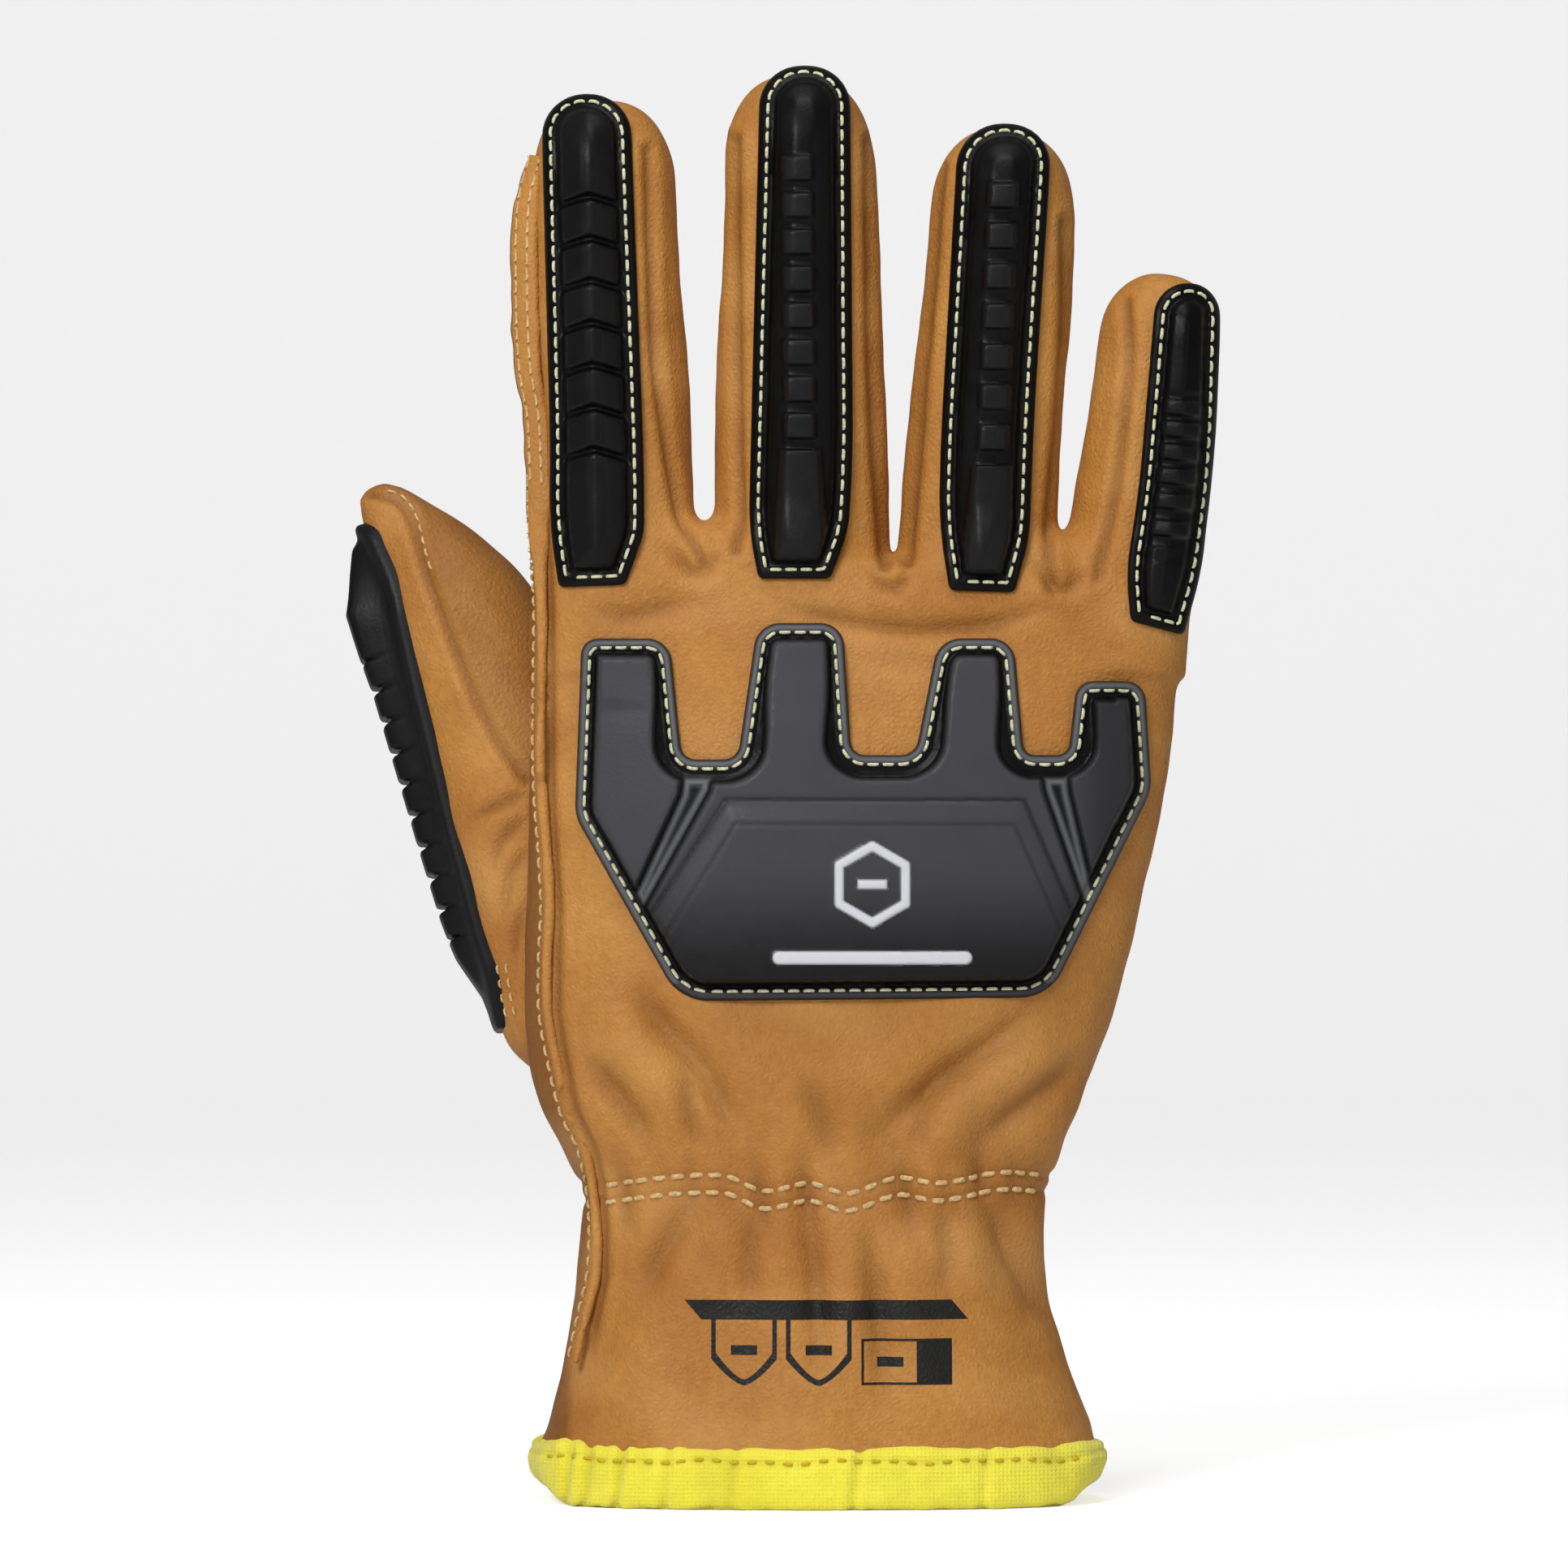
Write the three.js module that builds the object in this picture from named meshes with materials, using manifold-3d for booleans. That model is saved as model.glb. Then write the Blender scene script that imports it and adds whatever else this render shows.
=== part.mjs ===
// A right-hand leather work glove with moulded rubber impact guards on its back.
// It stands on its cuff with the fingers up: +Z runs to the fingertips, -Y is the back
// of the hand, +Y is the palm and -X is the thumb side. Millimetres.
// The leather and lining are hollow shells. They are cut apart at each flex line, so that
// every finger segment, the knuckles, the hand and the cuff are bodies that can hinge.
import * as THREE from "three";
import { mergeVertices } from "three/addons/utils/BufferGeometryUtils.js";
import Module from "manifold-3d";

const wasm = await Module();
wasm.setup();

// ---- driving dimensions -------------------------------------------------------------

const LEATHER = 1.4; // goatskin thickness
const GAP = 0.3; // air between neighbouring solids
const BINDING = 1; // thickness of the hem's fabric binding
const ELASTIC = 1; // thickness of the wrist elastic
const LINING_IN = LEATHER + GAP + ELASTIC + GAP; // the lining's outer face, inside the leather
const LINING = 1.4;
const FLANGE = 1.5; // sewn edge of a rubber guard
const RIB = 4.6; // height of a finger guard's ribs above the leather
const PLATE = 5; // height of the knuckle guard's raised plate
const FAR = 200; // larger than any piece

const HEM_TOP = 11.7;
const WRIST_Z = 70; // the flex line of the wrist
const ELASTIC_Z = [54.5, 61.5];
const KNUCKLE = { x: -2, z: 163.5, slope: -0.08 }; // flex line across the four knuckles

// Outline of the hand from the hem to the webs: height, left edge, right edge and full depth.
const HAND = [
  { z: 0, left: -53.7, right: 53.7, depth: 62 },
  { z: HEM_TOP, left: -50, right: 51.2, depth: 58 },
  { z: 36, left: -44, right: 44.6, depth: 50 },
  { z: 57, left: -44.2, right: 43.2, depth: 44 },
  { z: 78, left: -53.4, right: 52, depth: 42 },
  { z: 110, left: -54.4, right: 61, depth: 42 },
  { z: 142, left: -53.4, right: 67.4, depth: 39 },
  { z: 163, left: -53, right: 69, depth: 33 },
  { z: 176, left: -51, right: 70.2, depth: 27 },
];
const HAND_SQUARENESS = 2.5; // superellipse power of its cross-section
const HAND_SIDES = 28;

// Each finger: foot of its axis on the level FOOT_Z, lean to the right, turn of its guard
// about the axis, length, half width and half depth at the foot and near the tip, the
// distances along the axis of its two flex lines and of the foot of its guard, and the
// angle that its middle joint bends.
const FOOT_Z = 160;
const FINGERS = {
  index: {
    x: -35.3, lean: -2.2, turn: -9, length: 99.6,
    foot: [15.2, 13.4], end: [14.4, 12.6], bends: [46.6, 73.6], guardFoot: 8.5, angle: 80,
  },
  middle: {
    x: -2.4, lean: 0, turn: 0, length: 104.7,
    foot: [16.6, 13.7], end: [14.2, 12.6], bends: [50.2, 78.2], guardFoot: 9.5, angle: 80,
  },
  ring: {
    x: 28.5, lean: 4.6, turn: 5, length: 94.6,
    foot: [14.7, 13.1], end: [13.6, 12.2], bends: [42, 68.9], guardFoot: 7.5, angle: 80,
  },
  little: {
    x: 56.9, lean: 7.4, turn: 14, length: 67.3,
    foot: [13.2, 12], end: [11.2, 10.6], bends: [29.7, 50.2], guardFoot: 1, angle: 75,
  },
};
const TIP_RATIO = 0.6; // a fingertip bends this share of its middle joint
const TIP_CAP = 1.2; // length of the rounded tip over its half width
const FINGER_SIDES = 14;
const LINING_SIDES = 10; // of a finger's lining, which hardly shows
const GUARD_HALF = 8; // half width of a finger guard

// The thumb: distance along its axis, sideways shift, half width and half depth.
const THUMB = {
  foot: [-43.5, 11, 87],
  axis: [-0.25, 0.14, 0.957],
  stations: [
    [0, 0, 15, 14], [40, 0, 16, 14.5], [70, 0, 15.7, 13.5], [88, -2.3, 13.2, 12],
    [96, -5.2, 9, 9.6], [101, -7.2, 5, 6], [103.8, -8.2, 1.4, 1.8],
  ],
  bend: 68, // distance of its flex line
  guard: [7, 97], // where its guard starts and ends
  guardTurn: 4, // degrees that its guard is turned from the thumb's side towards the back
  swingRange: 30,
  bendRange: 50,
};

// ---- solids -------------------------------------------------------------------------

// A closed three.js geometry as a manifold-3d solid, facing out.
function solid(geometry) {
  const bare = geometry.index ? geometry.toNonIndexed() : geometry.clone();
  bare.deleteAttribute("normal");
  bare.deleteAttribute("uv");
  const merged = mergeVertices(bare, 1e-4);
  const triVerts = new Uint32Array(merged.index.array);
  const vertProperties = new Float32Array(merged.attributes.position.array);
  const made = new wasm.Manifold(new wasm.Mesh({ numProp: 3, vertProperties, triVerts }));
  if (made.volume() > 0) return made;
  for (let i = 0; i < triVerts.length; i += 3) {
    [triVerts[i + 1], triVerts[i + 2]] = [triVerts[i + 2], triVerts[i + 1]];
  }
  return new wasm.Manifold(new wasm.Mesh({ numProp: 3, vertProperties, triVerts }));
}

// The largest connected part of a solid, so that a cut leaves no crumbs.
function largest(shape) {
  return shape.decompose().reduce((a, b) => (b.volume() > a.volume() ? b : a));
}

function union(shapes) {
  return shapes.reduce((a, b) => a.add(b));
}

function box(low, high) {
  const size = low.map((v, i) => high[i] - v);
  const geometry = new THREE.BoxGeometry(...size);
  geometry.translate(...low.map((v, i) => v + size[i] / 2));
  return solid(geometry);
}

// A closed skin through rings of points, each ring with the same number of points.
function loft(rings) {
  const sides = rings[0].length;
  const positions = [];
  const quad = (a, b, c, d) => positions.push(...a, ...b, ...c, ...a, ...c, ...d);
  rings.slice(1).forEach((ring, r) => {
    for (let i = 0; i < sides; i++) {
      const j = (i + 1) % sides;
      quad(rings[r][i], rings[r][j], ring[j], ring[i]);
    }
  });
  const cap = (ring, flip) => {
    const centre = [0, 1, 2].map((k) => ring.reduce((sum, p) => sum + p[k], 0) / sides);
    for (let i = 0; i < sides; i++) {
      const ends = [ring[i], ring[(i + 1) % sides]];
      if (flip) ends.reverse();
      positions.push(...centre, ...ends[0], ...ends[1]);
    }
  };
  cap(rings[0], true);
  cap(rings[rings.length - 1], false);
  const geometry = new THREE.BufferGeometry();
  geometry.setAttribute("position", new THREE.Float32BufferAttribute(positions, 3));
  return solid(geometry);
}

// One superelliptical ring round a centre, in the plane of two directions.
function ring(centre, across, deep, halfWidth, halfDepth, sides, power) {
  const curve = (v) => Math.sign(v) * Math.abs(v) ** (2 / power);
  return Array.from({ length: sides }, (_, i) => {
    const turn = (2 * Math.PI * (i + 0.5)) / sides;
    const u = halfWidth * curve(Math.cos(turn));
    const v = halfDepth * curve(Math.sin(turn));
    return centre.clone().addScaledVector(across, u).addScaledVector(deep, v).toArray();
  });
}

const X = new THREE.Vector3(1, 0, 0);
const Y = new THREE.Vector3(0, 1, 0);
const Z = new THREE.Vector3(0, 0, 1);

// ---- the hand and fingers as solids grown or shrunk by an offset ---------------------

function handSolid(offset, open = false) {
  const rings = HAND.map(({ z, left, right, depth }, i) => {
    const shift = i === HAND.length - 1 ? offset : 0;
    const start = i === 0 && open ? -5 : 0;
    const centre = new THREE.Vector3((left + right) / 2, 0, z + shift + start);
    const halfWidth = (right - left) / 2 - BINDING - GAP + offset;
    const halfDepth = depth / 2 - BINDING - GAP + offset;
    return ring(centre, X, Y, halfWidth, halfDepth, HAND_SIDES, HAND_SQUARENESS);
  });
  return loft(rings);
}

// A finger's own directions: along it, across it to the right and through it to the palm.
function fingerFrame({ x, lean }) {
  const angle = THREE.MathUtils.degToRad(lean);
  const along = new THREE.Vector3(Math.sin(angle), 0, Math.cos(angle));
  const across = new THREE.Vector3().crossVectors(Y, along);
  return { foot: new THREE.Vector3(x, 0, FOOT_Z), along, across, palm: Y };
}

function fingerSolid(finger, offset, sides = FINGER_SIDES) {
  const { foot, along, across, palm } = fingerFrame(finger);
  const capLength = TIP_CAP * finger.end[0];
  const straight = finger.length - capLength;
  const at = (distance, halfWidth, halfDepth) =>
    ring(
      foot.clone().addScaledVector(along, distance),
      across, palm, halfWidth + offset, halfDepth + offset, sides, 2.15,
    );
  const rings = [
    at(-offset, ...finger.foot),
    at(finger.bends[0], ...finger.end),
    at(straight, ...finger.end),
  ];
  for (const degrees of [35, 62, 82]) {
    const turn = THREE.MathUtils.degToRad(degrees);
    const shrink = (half) => (half + offset) * Math.cos(turn) - offset;
    const rise = (capLength + offset) * Math.sin(turn);
    rings.push(at(straight + rise, ...finger.end.map(shrink)));
  }
  return loft(rings);
}

const thumbAlong = new THREE.Vector3(...THUMB.axis).normalize();
const thumbFoot = new THREE.Vector3(...THUMB.foot);
const thumbAcross = new THREE.Vector3().crossVectors(Y, thumbAlong).normalize();
const thumbDeep = new THREE.Vector3().crossVectors(thumbAlong, thumbAcross);

function thumbSolid(offset, sides = FINGER_SIDES) {
  const rings = THUMB.stations.map(([distance, shift, halfWidth, halfDepth], i, all) => {
    const end = i === 0 ? -offset : i === all.length - 1 ? offset : 0;
    const centre = thumbFoot.clone().addScaledVector(thumbAlong, distance + end);
    centre.addScaledVector(thumbAcross, shift);
    const grown = [halfWidth, halfDepth].map((half) => Math.max(half + offset, 0.6));
    return ring(centre, thumbAcross, thumbDeep, ...grown, sides, 2.1);
  });
  return loft(rings);
}

// ---- flex lines ----------------------------------------------------------------------

// A block that keeps one side of a flex line. Its faces slope away from the line by half
// the bend on the palm side and on the back, so that the two sides never meet.
function side(hinge, which, halfLength = FAR) {
  const { at, along, across, palm, flexion, extension } = hinge;
  const slope = (degrees) => Math.tan(THREE.MathUtils.degToRad(degrees ? degrees / 2 + 1 : 0));
  const sign = which === "above" ? 1 : -1;
  const shape = new THREE.Shape([
    new THREE.Vector2(0, sign * GAP),
    new THREE.Vector2(FAR, sign * (GAP + FAR * slope(flexion))),
    new THREE.Vector2(FAR, sign * 3 * FAR),
    new THREE.Vector2(-FAR, sign * 3 * FAR),
    new THREE.Vector2(-FAR, sign * (GAP + FAR * slope(extension))),
  ]);
  const geometry = new THREE.ExtrudeGeometry(shape, { depth: 2 * halfLength, bevelEnabled: false });
  geometry.translate(0, 0, -halfLength);
  const placed = new THREE.Matrix4().makeBasis(palm, along, across).setPosition(at);
  return solid(geometry.applyMatrix4(placed));
}

const wristHinge = {
  at: new THREE.Vector3(0, 0, WRIST_Z), along: Z, across: X, palm: Y, flexion: 45, extension: 35,
};
const knuckleAcross = new THREE.Vector3(1, 0, KNUCKLE.slope).normalize();
const knuckleHinge = {
  at: new THREE.Vector3(KNUCKLE.x, 0, KNUCKLE.z),
  along: new THREE.Vector3().crossVectors(knuckleAcross, Y),
  across: knuckleAcross,
  palm: Y,
  flexion: 60,
  extension: 0,
};

function fingerHinge(finger, which) {
  const frame = fingerFrame(finger);
  const at = frame.foot.clone().addScaledVector(frame.along, finger.bends[which]);
  const flexion = which === 0 ? finger.angle : finger.angle * TIP_RATIO;
  return { ...frame, at, flexion, extension: 0 };
}

// The whole thumb swings out in front of the palm about its foot.
const swingHinge = {
  at: thumbFoot, along: Z, across: X, palm: Y, flexion: 2 * THUMB.swingRange, extension: 0,
};

// The thumb bends towards the palm and the index finger.
const thumbPalm = new THREE.Vector3(0.6, 0.8, 0)
  .projectOnPlane(thumbAlong)
  .normalize();
const thumbHinge = {
  at: thumbFoot.clone().addScaledVector(thumbAlong, THUMB.bend),
  along: thumbAlong,
  across: new THREE.Vector3().crossVectors(thumbPalm, thumbAlong),
  palm: thumbPalm,
  flexion: THUMB.bendRange,
  extension: 0,
};

// ---- materials ------------------------------------------------------------------------

const material = (name, color, roughness) =>
  new THREE.MeshStandardMaterial({ name, color, roughness, metalness: 0 });
const leather = material("leather", 0xc08438, 0.62);
const rubber = material("guard_rubber", 0x1d1d20, 0.42);
const lining = material("lining", 0x8c8d88, 0.95);
const bindingFabric = material("hem_binding", 0xe8e41c, 0.85);
const elastic = material("elastic", 0xe9e6da, 0.9);
const thread = material("thread", 0xd8cf9c, 0.7);

const glove = new THREE.Group();

function place(name, shape, finish) {
  const mesh = shape.asOriginal().simplify(0.03).getMesh();
  const geometry = new THREE.BufferGeometry();
  geometry.setAttribute("position", new THREE.BufferAttribute(mesh.vertProperties, 3));
  geometry.setIndex(new THREE.BufferAttribute(mesh.triVerts, 1));
  const made = new THREE.Mesh(geometry, finish);
  made.name = name;
  glove.add(made);
}

// ---- leather and lining ------------------------------------------------------------------

const backHalf = box([-FAR, -FAR, -FAR], [FAR, -GAP / 2, 2 * FAR]);
const palmHalf = box([-FAR, GAP / 2, -FAR], [FAR, FAR, 2 * FAR]);

const fingerList = Object.entries(FINGERS);
const bodySolid = (offset, open, sides) =>
  union([
    handSolid(offset, open),
    ...fingerList.map(([, finger]) => fingerSolid(finger, offset, sides)),
  ]);
const liningSolid = (offset, open) => bodySolid(offset, open, LINING_SIDES);

const leatherSkin = bodySolid(0).subtract(bodySolid(-LEATHER, true));
const liningSkin = liningSolid(-LINING_IN).subtract(liningSolid(-LINING_IN - LINING, true));
const aboveHem = box([-FAR, -FAR, BINDING + GAP], [FAR, FAR, 2 * FAR]);

const belowWrist = side(wristHinge, "below").intersect(aboveHem);
const handSlab = side(wristHinge, "above").intersect(side(knuckleHinge, "below"));
const knuckleSlab = fingerList.reduce(
  (slab, [, finger]) => {
    const hinge = fingerHinge(finger, 0);
    const block = side({ ...hinge, flexion: 0 }, "above", finger.end[0] + 2.5);
    const wedge = side(hinge, "below", finger.end[0] + 2.5);
    return slab.subtract(block).subtract(sleeve(hinge, finger).subtract(wedge));
  },
  side(knuckleHinge, "above"),
);

// A short block round a finger at its flex line, as wide as the finger alone.
function sleeve(hinge, finger) {
  const half = finger.end[0] + 2.5;
  const geometry = new THREE.BoxGeometry(2 * FAR, 60, 2 * half);
  const placed = new THREE.Matrix4()
    .makeBasis(hinge.palm, hinge.along, hinge.across)
    .setPosition(hinge.at.clone().addScaledVector(hinge.along, 15));
  return solid(geometry.applyMatrix4(placed));
}

place("cuff_back_panel", largest(leatherSkin.intersect(belowWrist).intersect(backHalf)), leather);
place("cuff_palm_panel", largest(leatherSkin.intersect(belowWrist).intersect(palmHalf)), leather);
place("cuff_lining", largest(liningSkin.intersect(belowWrist)), lining);

// The thumb's hollow opens into the hand, and its swing outwards leaves the hand alone.
const thumbHollow = thumbSolid(-LEATHER);
const handLeather = leatherSkin.intersect(handSlab).subtract(thumbHollow);
const handLining = liningSkin.intersect(handSlab).subtract(thumbHollow);
place("hand_back_panel", largest(handLeather.intersect(backHalf)), leather);
place("palm_panel", largest(handLeather.intersect(palmHalf)), leather);
place("hand_lining", largest(handLining), lining);

// A fourchette is the strip that lines the gap between two fingers and turns at the web.
const FOURCHETTE_HALF = 4.6;
const knuckleLeather = leatherSkin.intersect(knuckleSlab);
let panelsLeft = knuckleLeather;
fingerList.slice(1).forEach(([name, finger], i) => {
  const [before, neighbour] = fingerList[i];
  const gap = (grow) =>
    box(
      [neighbour.x, -FOURCHETTE_HALF - grow, 171 - grow],
      [finger.x, FOURCHETTE_HALF + grow, 2 * FAR],
    );
  place(`${before}_${name}_fourchette`, largest(knuckleLeather.intersect(gap(0))), leather);
  panelsLeft = panelsLeft.subtract(gap(GAP));
});
place("knuckle_back_panel", largest(panelsLeft.intersect(backHalf)), leather);
place("knuckle_palm_panel", largest(panelsLeft.intersect(palmHalf)), leather);
place("knuckle_lining", largest(liningSkin.intersect(knuckleSlab)), lining);

// The palm and back halves of a skin round an axis.
function halves(skin, at, palm, across, along) {
  const half = (sign) => {
    const geometry = new THREE.BoxGeometry(FAR, 2 * FAR, FAR);
    geometry.translate(sign * (FAR / 2 + GAP / 2), 0, 0);
    const placed = new THREE.Matrix4().makeBasis(palm, along, across).setPosition(at);
    return largest(skin.intersect(solid(geometry.applyMatrix4(placed))));
  };
  return { back: half(-1), front: half(1) };
}

for (const [name, finger] of fingerList) {
  const skin = fingerSolid(finger, 0).subtract(fingerSolid(finger, -LEATHER));
  const inside = fingerSolid(finger, -LINING_IN, LINING_SIDES)
    .subtract(fingerSolid(finger, -LINING_IN - LINING, LINING_SIDES));
  const [first, second] = [0, 1].map((which) => fingerHinge(finger, which));
  const slabs = {
    middle: side(first, "above").intersect(side(second, "below")),
    tip: side(second, "above"),
  };
  for (const [part, slab] of Object.entries(slabs)) {
    const { at, palm, across, along } = second;
    const { back, front } = halves(skin.intersect(slab), at, palm, across, along);
    place(`${name}_back_${part}`, back, leather);
    place(`${name}_front_${part}`, front, leather);
    place(`${name}_lining_${part}`, largest(inside.intersect(slab)), lining);
  }
}

// ---- thumb -----------------------------------------------------------------------------

const THUMB_CLEARANCE = 0.6;
const outsideHand = (shape) => shape.subtract(bodySolid(THUMB_CLEARANCE));
const thumbSlabs = {
  base: side(thumbHinge, "below").intersect(side(swingHinge, "above")),
  tip: side(thumbHinge, "above"),
};
const thumbSkin = outsideHand(thumbSolid(0).subtract(thumbHollow));
const thumbInside = outsideHand(
  thumbSolid(-LINING_IN, LINING_SIDES).subtract(thumbSolid(-LINING_IN - LINING, LINING_SIDES)),
);
for (const [part, slab] of Object.entries(thumbSlabs)) {
  const { back, front } = halves(
    thumbSkin.intersect(slab), thumbHinge.at, thumbAcross, thumbDeep, thumbAlong,
  );
  place(`thumb_back_${part}`, back, leather);
  place(`thumb_front_${part}`, front, leather);
  place(`thumb_lining_${part}`, largest(thumbInside.intersect(slab)), lining);
}

// ---- rubber guards -----------------------------------------------------------------------

// The outline of a finger guard: a strip with a rounded top and a tapered foot.
function guardOutline(foot, top, half) {
  const taper = 5.5;
  const shape = new THREE.Shape();
  shape.moveTo(-half * 0.68, foot);
  shape.lineTo(half * 0.68, foot);
  shape.lineTo(half, foot + taper);
  shape.lineTo(half, top - half);
  shape.absarc(0, top - half, half, 0, Math.PI, false);
  shape.lineTo(-half, foot + taper);
  return shape;
}

// A flat shape pushed through the glove from its outside as far as the finger's axis.
function prism(shape, at, across, along, outward) {
  const depth = { depth: FAR, bevelEnabled: false, curveSegments: 4 };
  const geometry = new THREE.ExtrudeGeometry(shape, depth);
  const placed = new THREE.Matrix4().makeBasis(across, along, outward).setPosition(at);
  return solid(geometry.applyMatrix4(placed));
}

// A strip guard on a grown solid: a thin sewn edge, and ribs with slots between them.
function stripGuard(grown, frame, foot, top, half, { first, last, pitch, slot }) {
  const { at, across, along, outward } = frame;
  const cut = (shape) => prism(shape, at, across, along, outward);
  const bare = grown(GAP);
  const flange = grown(GAP + FLANGE).subtract(bare).intersect(cut(guardOutline(foot, top, half)));
  let raised = grown(RIB).subtract(bare).intersect(cut(guardOutline(foot + 3, top - 5, half * 0.62)));
  for (let t = first; t < last; t += pitch) {
    const notch = new THREE.Shape([
      new THREE.Vector2(-FAR, t), new THREE.Vector2(FAR, t),
      new THREE.Vector2(FAR, t + slot), new THREE.Vector2(-FAR, t + slot),
    ]);
    raised = raised.subtract(cut(notch).subtract(grown(GAP + FLANGE)));
  }
  return flange.add(raised);
}

for (const [name, finger] of fingerList) {
  const { foot, along } = fingerFrame(finger);
  const outward = Y.clone().negate().applyAxisAngle(along, THREE.MathUtils.degToRad(finger.turn));
  const frame = { at: foot, across: new THREE.Vector3().crossVectors(along, outward), along, outward };
  const ribs = { first: finger.guardFoot + 21, last: finger.length - 14, pitch: 7.4, slot: 1.8 };
  const half = (GUARD_HALF * finger.end[0]) / 14;
  const top = finger.length - 0.5;
  const guard = stripGuard(
    (grow) => fingerSolid(finger, grow), frame, finger.guardFoot, top, half, ribs,
  );
  const clear = guard.subtract(handSolid(GAP));
  const [first, second] = [0, 1].map((which) => fingerHinge(finger, which));
  place(`${name}_guard_base`, largest(clear.intersect(side(first, "below"))), rubber);
  place(
    `${name}_guard_middle`,
    largest(clear.intersect(side(first, "above")).intersect(side(second, "below"))),
    rubber,
  );
  place(`${name}_guard_tip`, largest(clear.intersect(side(second, "above"))), rubber);
}

const thumbOutward = thumbAcross
  .clone()
  .negate()
  .applyAxisAngle(thumbAlong, THREE.MathUtils.degToRad(THUMB.guardTurn));
const thumbFrame = {
  at: thumbFoot,
  across: new THREE.Vector3().crossVectors(thumbAlong, thumbOutward),
  along: thumbAlong,
  outward: thumbOutward,
};
const thumbRibs = { first: 24, last: 82, pitch: 6.7, slot: 1.7 };
const thumbGuard = outsideHand(stripGuard(thumbSolid, thumbFrame, ...THUMB.guard, 7.6, thumbRibs));
for (const [part, slab] of Object.entries(thumbSlabs)) {
  place(`thumb_guard_${part}`, largest(thumbGuard.intersect(slab)), rubber);
}

// The knuckle guard: four prongs over the knuckles, joined by a plate that narrows to the
// wrist. Each prong has its edges at the valleys and at its top, and the height of its top.
const VALLEY_Z = 137.4;
const PRONGS = [
  { left: -42.6, right: -25.2, topLeft: -42.6, topRight: -27, top: 159.3 },
  { left: -13.6, right: 6.4, topLeft: -10, topRight: 3.6, top: 161.6 },
  { left: 19.4, right: 38, topLeft: 23, topRight: 36, top: 158.8 },
  { left: 47.4, right: 61.4, topLeft: 50.4, topRight: 60, top: 150.4 },
];
const PLATE_FOOT = [
  [61.9, 131.5], [42.6, 94.6], [39.4, 92.7], [-22, 92.7], [-25.6, 94.8], [-43.8, 128.5],
];

// The outline drawn in by a margin: the prongs and sides move towards their own middles.
function knuckleOutline(inset) {
  const shape = new THREE.Shape();
  const points = [];
  for (const { left, right, topLeft, topRight, top } of PRONGS) {
    points.push([left + inset, VALLEY_Z - inset], [topLeft + inset, top - inset]);
    points.push([topRight - inset, top - inset], [right - inset, VALLEY_Z - inset]);
  }
  points.shift();
  const centre = [9, 112];
  for (const [x, z] of PLATE_FOOT) {
    const length = Math.hypot(x - centre[0], z - centre[1]);
    const share = 1 - (inset * 1.15) / length;
    points.push([centre[0] + (x - centre[0]) * share, centre[1] + (z - centre[1]) * share]);
  }
  points.forEach(([x, z], i) => (i ? shape.lineTo(x, z) : shape.moveTo(x, z)));
  shape.closePath();
  return shape;
}

const backFrame = [new THREE.Vector3(), X, Z, Y.clone().negate()];
const knuckleBare = handSolid(GAP);
const knucklePrism = (inset) => prism(knuckleOutline(inset), ...backFrame);
const knuckleFlange = handSolid(GAP + FLANGE).subtract(knuckleBare).intersect(knucklePrism(0));
const knucklePlate = handSolid(PLATE).subtract(knuckleBare).intersect(knucklePrism(3));
const belowKnuckles = side(knuckleHinge, "below");
place("knuckle_guard", largest(knuckleFlange.add(knucklePlate).intersect(belowKnuckles)), rubber);

// The depth of the hand's back at a point of its outline, grown by an offset.
function backDepth(x, z, offset) {
  const upper = HAND.findIndex((station) => station.z >= z);
  const [low, high] = [HAND[upper - 1], HAND[upper]];
  const share = (z - low.z) / (high.z - low.z);
  const mix = (key) => low[key] + (high[key] - low[key]) * share;
  const halfWidth = (mix("right") - mix("left")) / 2 - BINDING - GAP + offset;
  const halfDepth = mix("depth") / 2 - BINDING - GAP + offset;
  const out = Math.abs((x - (mix("left") + mix("right")) / 2) / halfWidth);
  return -halfDepth * (1 - out ** HAND_SQUARENESS) ** (1 / HAND_SQUARENESS);
}

// The thread that sews the knuckle guard down, lying on the sewn edge as one closed cord.
const STITCH_INSET = 1.5;
const CORD = 0.35; // half the cord's thickness
const CORD_LIFT = 0.35; // between the cord and the sewn edge, so that they stay apart
const CORD_STEP = 9; // longest straight piece of the cord
const path = knuckleOutline(STITCH_INSET).getPoints().slice(0, -1);
const cordRings = [];
path.forEach((point, i) => {
  const next = path[(i + 1) % path.length];
  const pieces = Math.max(1, Math.round(point.distanceTo(next) / CORD_STEP));
  for (let k = 0; k < pieces; k++) cordRings.push(point.clone().lerp(next, k / pieces));
});
const cordCentres = cordRings.map(({ x, y }) =>
  new THREE.Vector3(x, backDepth(x, y, GAP + FLANGE + CORD + CORD_LIFT), y));
const cordGeometry = new THREE.BufferGeometry();
const cordPositions = [];
const CORD_SIDES = 4;
const cordPoints = cordCentres.map((centre, i) => {
  const before = cordCentres[(i + cordCentres.length - 1) % cordCentres.length];
  const after = cordCentres[(i + 1) % cordCentres.length];
  const along = after.clone().sub(before).normalize();
  const out = new THREE.Vector3().crossVectors(along, Y).normalize();
  const up = new THREE.Vector3().crossVectors(out, along);
  return ring(centre, out, up, CORD, CORD, CORD_SIDES, 2);
});
cordPoints.forEach((points, i) => {
  const next = cordPoints[(i + 1) % cordPoints.length];
  for (let k = 0; k < CORD_SIDES; k++) {
    const m = (k + 1) % CORD_SIDES;
    cordPositions.push(...points[k], ...points[m], ...next[m], ...points[k], ...next[m], ...next[k]);
  }
});
cordGeometry.setAttribute("position", new THREE.Float32BufferAttribute(cordPositions, 3));
place("knuckle_guard_thread", solid(cordGeometry), thread);

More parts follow.
